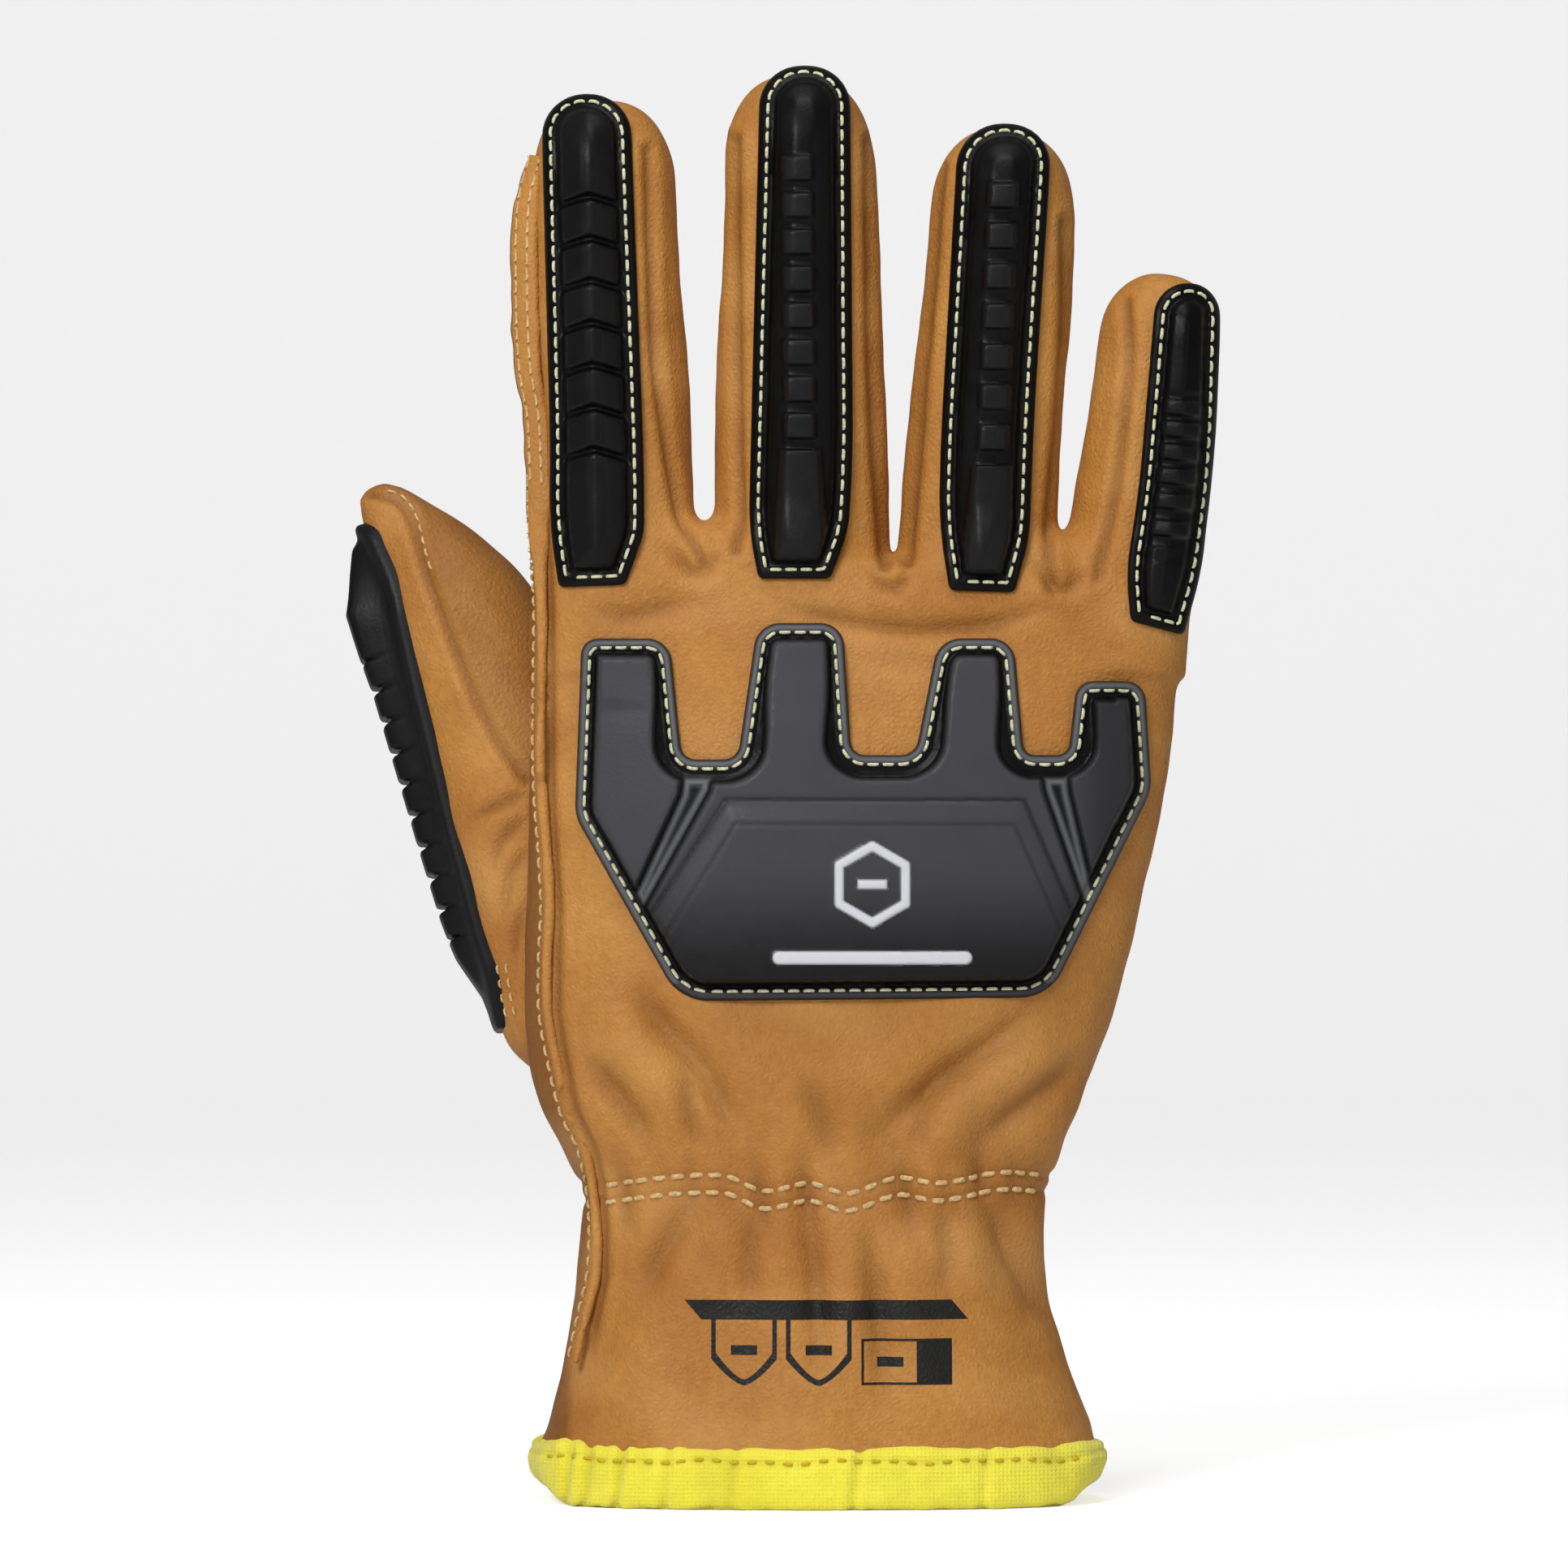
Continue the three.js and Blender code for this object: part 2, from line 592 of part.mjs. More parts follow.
// ---- cuff trim ------------------------------------------------------------------------------

const hemSlab = box([-FAR, -FAR, 0], [FAR, FAR, HEM_TOP]);
const hemOuter = handSolid(BINDING + GAP).intersect(hemSlab);
const insideLining = (offset) => handSolid(-LINING_IN - LINING - offset, true);
const hemInner = insideLining(GAP + BINDING);
const hemSlot = handSolid(GAP)
  .subtract(insideLining(GAP))
  .intersect(box([-FAR, -FAR, BINDING], [FAR, FAR, FAR]));
place("hem_binding", largest(hemOuter.subtract(hemInner).subtract(hemSlot)), bindingFabric);

const elasticSkin = handSolid(-LEATHER - GAP).subtract(handSolid(-LEATHER - GAP - ELASTIC, true));
const elasticSlab = box([-36, -FAR, ELASTIC_Z[0]], [36, -4, ELASTIC_Z[1]]);
place("wrist_elastic", largest(elasticSkin.intersect(elasticSlab)), elastic);

// The origin is under the middle of the whole glove, on the level that it stands on.
const bounds = new THREE.Box3().setFromObject(glove);
const middle = bounds.getCenter(new THREE.Vector3());
for (const mesh of glove.children) {
  mesh.geometry.translate(-middle.x, -middle.y, -bounds.min.z);
}

export default glove;
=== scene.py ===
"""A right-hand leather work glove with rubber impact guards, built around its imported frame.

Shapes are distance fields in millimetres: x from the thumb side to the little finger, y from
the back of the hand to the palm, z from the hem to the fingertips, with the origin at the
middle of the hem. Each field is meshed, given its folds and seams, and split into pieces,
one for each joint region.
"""

import math

import bpy
import numpy as np
import openvdb
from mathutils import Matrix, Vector
from mathutils.bvhtree import BVHTree


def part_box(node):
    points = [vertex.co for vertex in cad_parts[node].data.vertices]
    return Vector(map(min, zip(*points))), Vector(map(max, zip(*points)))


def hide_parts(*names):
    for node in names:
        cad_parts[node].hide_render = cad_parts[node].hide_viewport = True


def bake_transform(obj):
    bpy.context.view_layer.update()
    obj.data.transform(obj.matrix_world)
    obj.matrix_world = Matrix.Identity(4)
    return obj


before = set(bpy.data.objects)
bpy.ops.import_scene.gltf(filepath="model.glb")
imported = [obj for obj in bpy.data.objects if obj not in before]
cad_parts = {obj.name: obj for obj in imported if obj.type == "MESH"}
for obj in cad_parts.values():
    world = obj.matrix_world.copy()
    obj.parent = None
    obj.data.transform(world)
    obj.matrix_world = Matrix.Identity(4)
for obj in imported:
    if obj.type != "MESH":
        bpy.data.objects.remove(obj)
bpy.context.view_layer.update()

# ---- dimensions, millimetres ----

LEATHER_VOXEL = 0.7
GUARD_VOXEL = 0.42
LINING_VOXEL = 1.5
# The leather's thickness, and how far inside the skin the lining's outer face lies.
LEATHER = 3.0
LINING_IN = 3.7
LINING_THICKNESS = 1.6
HEM_TOP = 11.7
# The leather's lower edge, inside the hem, and how far up the wearer's hand can reach.
LEATHER_FOOT = 5.2
CAVITY_TOP = 150
# How softly the palm's top, neighbouring fingers, and palm and fingers run together.
PALM_TOP_BLEND = 5
FINGER_BLEND = 0.6
WEB_BLEND = 3.8

# Height, left edge, right edge and full depth of the hand.
HAND = np.array([
    (-6, -51.6, 52.2, 59), (0, -52.0, 52.6, 59), (8, -52.0, 52.9, 58),
    (HEM_TOP, -50.2, 51.2, 56.5), (24, -46.8, 46.2, 52), (37, -44.1, 42.9, 47.5),
    (50, -43.1, 41.5, 43.5), (58, -43.3, 41.8, 41.5), (65, -46.6, 44.6, 41.5),
    (72, -50.6, 48.4, 42), (80, -53.0, 51.7, 42), (90, -53.6, 55.2, 42),
    (105, -53.4, 58.9, 41.5), (127, -52.8, 63.9, 40), (142, -52.4, 66.4, 37.5),
    (158, -52.2, 67.4, 32.5), (180, -51.0, 69.4, 27),
])
HAND_POWER = 2.5

# Foot of the axis, lean to the right, length, half width and half depth at the foot and
# near the tip, the two flex lines' distances, and half the length of each bend.
FOOT_Z = 160
FINGERS = {
    "index": (-35.8, -2.2, 99, (15.0, 13.2), (13.1, 12.0), (46.6, 73.6), (13, 9)),
    "middle": (-2.6, 0.0, 103.3, (17.0, 13.8), (13.6, 12.2), (50.2, 78.2), (13, 9)),
    "ring": (28.5, 4.6, 93.2, (14.8, 13.1), (13.2, 11.8), (42.0, 68.9), (13, 9)),
    "little": (56.5, 7.4, 67.0, (12.5, 12.0), (10.6, 10.2), (29.7, 50.2), (11, 8)),
}
TIP_CAP = 1.25
WEB_TOPS = ((-56, 178), (-19.5, 180.5), (14.5, 173.0), (45.5, 178.0), (72, 175))

THUMB_FOOT = np.array([-43.5, 11, 87])
THUMB_AXIS = np.array([-0.25, 0.14, 0.957])
THUMB_BEND = 68
THUMB_LENGTH = 108.8
# Distance along the axis, sideways shift, half width and half depth.
THUMB = np.array([
    (-16, 4, 9.5, 10), (0, 1, 14.8, 13.6), (20, 0, 15.6, 14.2), (40, 0, 15.8, 14.2),
    (70, -0.3, 15.4, 13.4), (80, -1.4, 14.0, 12.8), (88, -3.0, 12.0, 11.6),
    (95, -5.8, 9.8, 9.6), (100, -8.0, 8.0, 7.8), (104.5, -10.2, 5.9, 5.7), (109.5, -12.0, 2.6, 2.8),
])

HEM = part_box("hem_binding")
ORIGIN = np.array([(HEM[0].x + HEM[1].x) / 2, (HEM[0].y + HEM[1].y) / 2, HEM[0].z])


def unit(vector):
    vector = np.asarray(vector, float)
    return vector / np.linalg.norm(vector)


def smoothstep(low, high, value):
    t = np.clip((value - low) / (high - low), 0, 1)
    return t * t * (3 - 2 * t)


def bell(gap, width):
    """1 where the gap is 0, and close to 0 once it passes twice the width."""
    return np.exp(-((gap / width) ** 2))


# ---- distance fields ----


def curve(table, column, at):
    """A column of a table of stations, as a smooth function of its first column."""
    step = 0.5
    low, high = table[0][0], table[-1][0]
    dense = np.arange(low, high + step, step)
    values = np.interp(dense, table[:, 0], table[:, column])
    reach = 10
    kernel = np.hanning(2 * reach + 1)
    padded = np.pad(values, reach, mode="reflect", reflect_type="odd")
    smooth = np.convolve(padded, kernel / kernel.sum(), mode="valid")
    return np.interp(at, dense, smooth)


class Grid:
    """A regular grid of points, over which fields are evaluated and meshed."""

    def __init__(self, low, high, voxel):
        self.low = np.array(low, float)
        self.voxel = voxel
        counts = np.ceil((np.array(high) - self.low) / voxel).astype(int) + 1
        axes = [self.low[i] + voxel * np.arange(counts[i]) for i in range(3)]
        self.x = axes[0][:, None, None].astype(np.float32)
        self.y = axes[1][None, :, None].astype(np.float32)
        self.z = axes[2][None, None, :].astype(np.float32)

    def mesh(self, field):
        band = 3 * self.voxel
        grid = openvdb.FloatGrid(band)
        grid.copyFromArray(np.clip(field, -band, band).astype(np.float32))
        points, quads = grid.convertToQuads(isovalue=0.0)
        return self.low + points * self.voxel, quads.astype(np.int32)


def superellipse(u, v, half_u, half_v, power):
    """Signed distance to a superellipse, true to first order near its edge."""
    a, b = np.abs(u / half_u) + 1e-6, np.abs(v / half_v) + 1e-6
    size = (a**power + b**power) ** (1 / power)
    slope_u = (a / size) ** (power - 1) / half_u
    slope_v = (b / size) ** (power - 1) / half_v
    return (size - 1) / np.sqrt(slope_u**2 + slope_v**2)


def smooth_min(a, b, blend):
    h = np.maximum(blend - np.abs(a - b), 0) / blend
    return np.minimum(a, b) - h * h * blend / 4


def smooth_max(a, b, blend):
    return -smooth_min(-a, -b, blend)


def hand_tube(x, y, z):
    left, right, depth = (curve(HAND, column, z) for column in (1, 2, 3))
    centre, half = (left + right) / 2, (right - left) / 2
    return superellipse(x - centre, y, half, depth / 2, HAND_POWER)


def web_top(x):
    at, height = zip(*WEB_TOPS)
    return np.interp(x, at, height)


def finger_axes(name):
    x, lean = FINGERS[name][:2]
    angle = math.radians(lean)
    foot = np.array([x, 0, FOOT_Z])
    return foot, np.array([math.sin(angle), 0, math.cos(angle)])


def finger_distance(name, x, z):
    foot, along = finger_axes(name)
    return (x - foot[0]) * along[0] + (z - foot[2]) * along[2]


def finger(name, x, y, z):
    foot, along = finger_axes(name)
    _, _, length, at_foot, at_end, _, _ = FINGERS[name]
    s = finger_distance(name, x, z)
    u = (x - foot[0]) * along[2] - (z - foot[2]) * along[0]
    share = np.clip(s / length, -0.2, 1)
    half_u = at_foot[0] + (at_end[0] - at_foot[0]) * share
    half_v = at_foot[1] + (at_end[1] - at_foot[1]) * share
    cap = TIP_CAP * at_end[0]
    rise = np.clip((s - (length - cap)) / cap, 0, 1.6)
    flat = superellipse(u, y, half_u, half_v, 2.15)
    reach = 1 + flat / np.minimum(half_u, half_v)
    dome = ((np.maximum(reach, 0) ** 2.3 + rise**2.3) ** (1 / 2.3) - 1) * half_v
    tube = np.where(rise > 0, dome, flat)
    return np.maximum(tube, -s - 6)


def thumb_place(x, y, z):
    """Distance along the thumb, sideways and through it."""
    along = unit(THUMB_AXIS)
    across = unit(np.cross((0, 1, 0), along))
    deep = np.cross(along, across)
    dx, dy, dz = x - THUMB_FOOT[0], y - THUMB_FOOT[1], z - THUMB_FOOT[2]
    return [dx * a[0] + dy * a[1] + dz * a[2] for a in (along, across, deep)]


def thumb(x, y, z):
    s, u, v = thumb_place(x, y, z)
    shift, half_u, half_v = (curve(THUMB, column, s) for column in (1, 2, 3))
    flat = superellipse(u - shift, v, np.maximum(half_u, 1), np.maximum(half_v, 1), 2.1)
    fall = np.clip((-s + 1) / 15, 0, 1.6)
    reach = 1 + flat / np.minimum(half_u, half_v)
    foot = ((np.maximum(reach, 0) ** 2.2 + fall**2.2) ** (1 / 2.2) - 1) * half_v
    return smooth_max(np.where(fall > 0, foot, flat), s - THUMB_LENGTH, 3)


def hand_and_fingers(x, y, z):
    tube = hand_tube(x, y, z)
    palm = smooth_max(tube, z - web_top(x), PALM_TOP_BLEND)
    fingers = None
    for name in FINGERS:
        one = finger(name, x, y, z)
        fingers = one if fingers is None else smooth_min(fingers, one, FINGER_BLEND)
    return smooth_min(palm, fingers, WEB_BLEND), tube


# ---- mesh helpers ----


def vertex_normals(verts, faces):
    corners = verts[faces]
    flat = np.cross(corners[:, 2] - corners[:, 0], corners[:, -1] - corners[:, 1])
    normals = np.zeros_like(verts)
    for corner in range(faces.shape[1]):
        np.add.at(normals, faces[:, corner], flat)
    return normals / np.maximum(np.linalg.norm(normals, axis=1, keepdims=True), 1e-9)


def relax(verts, faces, rounds, strength=0.5):
    """Laplacian smoothing along the quads' edges."""
    edges = np.concatenate([faces[:, [i, (i + 1) % 4]] for i in range(4)])
    count = np.bincount(edges[:, 0], minlength=len(verts))[:, None]
    for _ in range(rounds):
        total = np.zeros_like(verts)
        np.add.at(total, edges[:, 0], verts[edges[:, 1]])
        verts = verts + strength * (total / np.maximum(count, 1) - verts)
    return verts


def ripple(points, scale, seed, waves=7):
    """Smooth noise between about -1 and 1."""
    source = np.random.default_rng(seed)
    total = np.zeros(len(points))
    for _ in range(waves):
        direction = unit(source.normal(size=3)) * source.uniform(0.6, 1.5)
        total += np.sin(points @ direction * (2 * math.pi / scale) + source.uniform(0, 6.28))
    return total / math.sqrt(waves)


def path_distance(points, path):
    """For flat points, the distance to an open path and the share of the path there."""
    path = np.asarray(path, float)
    steps = np.diff(path, axis=0)
    lengths = np.linalg.norm(steps, axis=1)
    starts = np.concatenate([[0], np.cumsum(lengths)])
    best = np.full(len(points), 1e9)
    share = np.zeros(len(points))
    for start, step, length, offset in zip(path, steps, lengths, starts):
        t = np.clip(((points - start) @ step) / length**2, 0, 1)
        gap = np.linalg.norm(points - start - t[:, None] * step, axis=1)
        closer = gap < best
        best[closer] = gap[closer]
        share[closer] = ((offset + t * length) / starts[-1])[closer]
    return best, share


def spline(path, step=1.0):
    """A path rounded through its points, sampled at an even step."""
    path = np.asarray(path, float)
    ends = np.concatenate([[2 * path[0] - path[1]], path, [2 * path[-1] - path[-2]]])
    dense = []
    for a, b, c, d in zip(ends, ends[1:], ends[2:], ends[3:]):
        for t in np.linspace(0, 1, 24, endpoint=False):
            dense.append(
                0.5 * (2 * b + (c - a) * t + (2 * a - 5 * b + 4 * c - d) * t**2
                       + (3 * b - a - 3 * c + d) * t**3)
            )
    dense.append(path[-1])
    return resample(np.array(dense), step)


def resample(path, step):
    lengths = np.concatenate([[0], np.cumsum(np.linalg.norm(np.diff(path, axis=0), axis=1))])
    count = max(2, round(lengths[-1] / step) + 1)
    at = np.linspace(0, lengths[-1], count)
    return np.stack([np.interp(at, lengths, path[:, k]) for k in range(path.shape[1])], 1)


# ---- pieces by joint region ----

THUMB_ALONG = unit(THUMB_AXIS)
KNUCKLE_ALONG = unit((0.08, 0, 1))
WRIST_SPLIT = 98
FINGER_START = 178.6


def bend_zones():
    """For each region: its two bodies, and where the bend between them starts and ends."""
    wrist = np.array([0, 0, 70])
    knuckle = np.array([-2, 0, 163.5])
    reach = 12 * KNUCKLE_ALONG
    zones = {
        "wrist": ("cuff", "hand", wrist + (0, 0, -19), wrist + (0, 0, 18)),
        "knuckles": ("hand", "knuckles", knuckle - reach, knuckle + reach),
        "thumb_lower": ("hand", "thumb_base", THUMB_FOOT - 4 * THUMB_ALONG,
                        THUMB_FOOT + 26 * THUMB_ALONG),
        "thumb_upper": ("thumb_base", "thumb_tip", THUMB_FOOT + (THUMB_BEND - 12) * THUMB_ALONG,
                        THUMB_FOOT + (THUMB_BEND + 12) * THUMB_ALONG),
    }
    for name, (*_, bends, reach) in FINGERS.items():
        foot, along = finger_axes(name)
        lower, upper = (
            (foot + along * (bend - half), foot + along * (bend + half))
            for bend, half in zip(bends, reach)
        )
        zones[f"{name}_lower"] = ("knuckles", f"{name}_middle", *lower)
        zones[f"{name}_upper"] = (f"{name}_middle", f"{name}_tip", *upper)
    return zones


ZONES = bend_zones()
REGIONS = list(ZONES)


def finger_split(name):
    bends, reach = FINGERS[name][5:]
    return (bends[0] + reach[0] + bends[1] - reach[1]) / 2


def hand_regions(points):
    """The region of each point of the hand and fingers, as an index into REGIONS."""
    x, z = points[:, 0], points[:, 2]
    region = np.where(z < WRIST_SPLIT, REGIONS.index("wrist"), REGIONS.index("knuckles"))
    sides = np.stack([
        np.abs((x - foot[0]) * along[2] - (z - foot[2]) * along[0]) / FINGERS[name][4][0]
        for name in FINGERS
        for foot, along in [finger_axes(name)]
    ])
    nearest = sides.argmin(axis=0)
    for i, name in enumerate(FINGERS):
        mine = (nearest == i) & (z > FINGER_START)
        upper = finger_distance(name, x, z) > finger_split(name)
        region[mine & ~upper] = REGIONS.index(f"{name}_lower")
        region[mine & upper] = REGIONS.index(f"{name}_upper")
    return region


def thumb_regions(points):
    s = (points - THUMB_FOOT) @ THUMB_ALONG
    split = THUMB_BEND - 16
    return np.where(s < split, REGIONS.index("thumb_lower"), REGIONS.index("thumb_upper"))


def to_frame(points):
    return np.asarray(points, float) * 0.001 + ORIGIN


def make_object(name, verts, faces, normals, material, attributes):
    mesh = bpy.data.meshes.new(name)
    mesh.from_pydata(to_frame(verts).tolist(), [], faces.tolist())
    mesh.polygons.foreach_set("use_smooth", [True] * len(mesh.polygons))
    for key, values in attributes.items():
        layer = mesh.attributes.new(key, "FLOAT", "POINT")
        layer.data.foreach_set("value", np.asarray(values, np.float32))
    mesh.update()
    mesh.normals_split_custom_set_from_vertices(normals.tolist())
    mesh.materials.append(material)
    piece = bpy.data.objects.new(name, mesh)
    bpy.context.scene.collection.objects.link(piece)
    return piece


def add_pieces(name, verts, faces, material, slot, regions, attributes=None, keep=None):
    """Splits a mesh between regions, one piece for each region.

    keep, when given, is the only region used. The pieces are returned by region name.
    """
    attributes = attributes or {}
    normals = vertex_normals(verts, faces)
    if keep:
        face_region = np.full(len(faces), REGIONS.index(keep))
    else:
        face_region = regions(verts[faces].mean(axis=1))
    made = {}
    for index in np.unique(face_region):
        region = REGIONS[index]
        own = faces[face_region == index]
        used, inverse = np.unique(own, return_inverse=True)
        piece = make_object(
            f"{name}_{region}", verts[used], inverse.reshape(own.shape), normals[used],
            material, {key: values[used] for key, values in attributes.items()},
        )
        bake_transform(piece)
        made[region] = piece
    return made


# ---- materials ----


class Shader:
    """A material built from nodes, with short helpers for procedural patterns."""

    def __init__(self, name):
        self.material = bpy.data.materials.new(name)
        self.material.use_nodes = True
        self.tree = self.material.node_tree
        self.surface = self.tree.nodes["Principled BSDF"]
        self.place = self.tree.nodes.new("ShaderNodeTexCoord").outputs["Object"]
        self.bumps = None

    def link(self, value, socket):
        if isinstance(value, (int, float)):
            socket.default_value = value
        elif isinstance(value, tuple):
            socket.default_value = (*value, 1)
        else:
            self.tree.links.new(value, socket)

    def texture(self, kind, scale, **settings):
        """A procedural texture over the piece's own space, with scale repeats in a metre."""
        node = self.tree.nodes.new(f"ShaderNodeTex{kind}")
        self.link(self.place, node.inputs["Vector"])
        for key, number in {"Scale": scale, **settings}.items():
            node.inputs[key].default_value = number
        return node

    def noise(self, scale, detail=3.0, roughness=0.5):
        return self.texture("Noise", scale, Detail=detail, Roughness=roughness).outputs["Fac"]

    def cells(self, scale):
        node = self.texture("Voronoi", scale)
        node.feature = "DISTANCE_TO_EDGE"
        return node.outputs["Distance"]

    def waves(self, scale, axis, distortion=0.0):
        node = self.texture("Wave", scale, Distortion=distortion)
        node.bands_direction = axis
        return node.outputs["Fac"]

    def math(self, operation, a, b=0.0):
        node = self.tree.nodes.new("ShaderNodeMath")
        node.operation = operation
        self.link(a, node.inputs[0])
        self.link(b, node.inputs[1])
        return node.outputs[0]

    def ramp(self, value, low, high, out_low=0.0, out_high=1.0):
        node = self.tree.nodes.new("ShaderNodeMapRange")
        self.link(value, node.inputs["Value"])
        for key, number in zip(("From Min", "From Max", "To Min", "To Max"),
                               (low, high, out_low, out_high)):
            node.inputs[key].default_value = number
        return node.outputs[0]

    def mix(self, share, a, b):
        node = self.tree.nodes.new("ShaderNodeMix")
        node.data_type = "RGBA"
        self.link(share, node.inputs[0])
        self.link(a, node.inputs[6])
        self.link(b, node.inputs[7])
        return node.outputs[2]

    def attribute(self, name):
        node = self.tree.nodes.new("ShaderNodeAttribute")
        node.attribute_name = name
        return node.outputs["Fac"]

    def bump(self, height, distance, strength=1.0):
        node = self.tree.nodes.new("ShaderNodeBump")
        node.inputs["Distance"].default_value = distance
        node.inputs["Strength"].default_value = strength
        self.link(height, node.inputs["Height"])
        if self.bumps is not None:
            self.link(self.bumps, node.inputs["Normal"])
        self.bumps = node.outputs[0]

    def finish(self, color, roughness, **others):
        self.link(color, self.surface.inputs["Base Color"])
        self.link(roughness, self.surface.inputs["Roughness"])
        for key, value in others.items():
            self.link(value, self.surface.inputs[key.replace("_", " ")])
        if self.bumps is not None:
            self.link(self.bumps, self.surface.inputs["Normal"])
        return self.material


def srgb(*values):
    """An sRGB colour, 0 to 255, as the linear colour a shader takes."""
    shares = [v / 255 for v in values]
    return tuple(v / 12.92 if v <= 0.04045 else ((v + 0.055) / 1.055) ** 2.4 for v in shares)


def print_mask(shader):
    """A plain slanted band over two empty shields and a box, printed on the cuff's back."""
    split = shader.tree.nodes.new("ShaderNodeSeparateXYZ")
    shader.link(shader.place, split.inputs[0])
    x, y, z = split.outputs
    high = shader.math("SUBTRACT", z, float(ORIGIN[2]))

    def off(centre, slant=0.0):
        shifted = shader.math("SUBTRACT", x, float(ORIGIN[0]) + 0.001 * centre)
        lean = shader.math("MULTIPLY", shader.math("SUBTRACT", 0.0363, high), slant)
        return shader.math("ABSOLUTE", shader.math("SUBTRACT", shifted, lean))

    def below(value, limit):
        return shader.math("LESS_THAN", value, limit)

    def box(centre, height, half_x, half_z, slant=0.0):
        away = shader.math("ABSOLUTE", shader.math("SUBTRACT", high, 0.001 * height))
        in_x = below(off(centre, slant), 0.001 * half_x)
        return shader.math("MULTIPLY", in_x, below(away, 0.001 * half_z))

    def shield(centre, half, foot):
        side = off(centre)
        bow = shader.math("POWER", shader.math("MULTIPLY", side, 1000 / half), 1.5)
        edge_z = shader.math("ADD", shader.math("MULTIPLY", bow, 0.0048), 0.001 * foot)
        in_z = shader.math("MULTIPLY", below(edge_z, high), below(high, 0.0346))
        return shader.math("MULTIPLY", below(side, 0.001 * half), in_z)

    mask = box(2.05, 36.3, 24.4, 1.8, 0.86)
    for centre in (-13.0, 0.65):
        outline = shader.math("SUBTRACT", shield(centre, 6.0, 22.6), shield(centre, 5.15, 23.7))
        mask = shader.math("MAXIMUM", mask, outline)
        mask = shader.math("MAXIMUM", mask, box(centre, 29.0, 2.4, 0.9))
    frame_box = shader.math("SUBTRACT", box(16.7, 26.9, 8.3, 4.2), box(13.7, 26.9, 4.8, 3.7))
    mask = shader.math("MAXIMUM", mask, frame_box)
    mask = shader.math("MAXIMUM", mask, box(13.7, 26.9, 2.4, 0.9))
    return shader.math("MULTIPLY", mask, below(y, float(ORIGIN[1])))


def leather_material(name, printed=False):
    shader = Shader(name)
    tone = shader.noise(26, 4, 0.6)
    mottle = shader.noise(160, 4, 0.65)
    tan = shader.mix(shader.ramp(tone, 0.32, 0.68), srgb(176, 115, 49), srgb(204, 145, 70))
    tan = shader.mix(shader.ramp(mottle, 0.3, 0.75, 0, 0.3), tan, srgb(166, 106, 44))
    tan = shader.mix(shader.ramp(shader.noise(650, 3, 0.6), 0.35, 0.68, 0, 0.3), tan,
                     srgb(150, 94, 38))
    # Painted shade: the tan darkens in creases, folds, seams, pleats and over the side panel.
    tan = shader.mix(shader.ramp(shader.attribute("painted_shade"), 0, 1, 0, 0.75), tan,
                     srgb(112, 66, 24))
    tan = shader.mix(shader.ramp(shader.attribute("wear"), 0, 1, 0, 0.45), tan,
                     srgb(222, 168, 98))
    roughness = shader.ramp(shader.noise(90, 3), 0.3, 0.7, 0.5, 0.66)
    if printed:
        tan = shader.mix(print_mask(shader), tan, srgb(26, 25, 24))
    shader.bump(shader.noise(75, 3, 0.6), 0.0013, 0.35)
    shader.bump(shader.cells(900), 0.0007, 0.42)
    shader.bump(shader.noise(2600, 2), 0.0002, 0.25)
    return shader.finish(tan, roughness, Specular_IOR_Level=0.3)


def rubber_material():
    shader = Shader("guard_rubber")
    tone = shader.ramp(shader.noise(60, 3), 0.3, 0.7)
    black = shader.mix(tone, srgb(7, 7, 7), srgb(13, 13, 13))
    # Greyer rubber on raised parts and rims: partly their own grey, partly painted sheen and
    # highlight.
    black = shader.mix(shader.attribute("grey_and_painted_sheen"), black, srgb(74, 74, 78))
    # The pale emblem, together with painted gloss streaks along the knuckle guard's rim and
    # channels.
    black = shader.mix(shader.attribute("emblem_and_painted_gloss"), black, srgb(212, 214, 219))
    smear = shader.noise(240, 4, 0.6)
    roughness = shader.ramp(smear, 0.3, 0.7, 0.3, 0.44)
    shader.bump(shader.noise(1500, 2), 0.00012, 0.25)
    return shader.finish(black, roughness, Specular_IOR_Level=0.13)


def thread_material(name, light, dark):
    shader = Shader(name)
    strands = shader.noise(1900, 2, 0.5)
    color = shader.mix(shader.ramp(strands, 0.3, 0.7), dark, light)
    shader.bump(strands, 0.0003, 0.5)
    return shader.finish(color, 0.72)


def fabric_material(name, light, dark, thread_scale, strength):
    shader = Shader(name)
    weft = shader.waves(thread_scale, "Z", 0.8)
    warp = shader.waves(thread_scale, "X", 0.8)
    weave = shader.math("MAXIMUM", weft, warp)
    fluff = shader.noise(900, 4, 0.7)
    patch = shader.noise(70, 3)
    color = shader.mix(shader.ramp(patch, 0.3, 0.7), dark, light)
    # Painted shade: the fabric darkens in its grooves and hollows.
    color = shader.mix(shader.ramp(shader.attribute("painted_shade"), 0, 1, 0, 0.5), color,
                       tuple(c * 0.55 for c in dark))
    shader.bump(weave, 0.0003, strength)
    shader.bump(fluff, 0.0004, 0.4)
    return shader.finish(color, 0.88, Sheen_Weight=0.25)


leather = leather_material("leather")
cuff_leather = leather_material("leather_printed", printed=True)
rubber = rubber_material()
guard_thread = thread_material("guard_thread", srgb(238, 238, 204), srgb(186, 186, 142))
leather_thread = thread_material("leather_thread", srgb(234, 206, 150), srgb(186, 148, 92))
hem_thread = thread_material("hem_thread", srgb(228, 198, 30), srgb(190, 160, 16))
hem_fabric = fabric_material("hem_fabric", srgb(255, 246, 76), srgb(244, 232, 58), 420, 0.5)
lining_fabric = fabric_material("lining_fabric", srgb(160, 162, 158), srgb(128, 130, 126),
                                300, 0.8)
elastic_fabric = fabric_material("elastic_fabric", srgb(236, 232, 220), srgb(206, 200, 186),
                                 500, 0.9)

# ---- leather ----

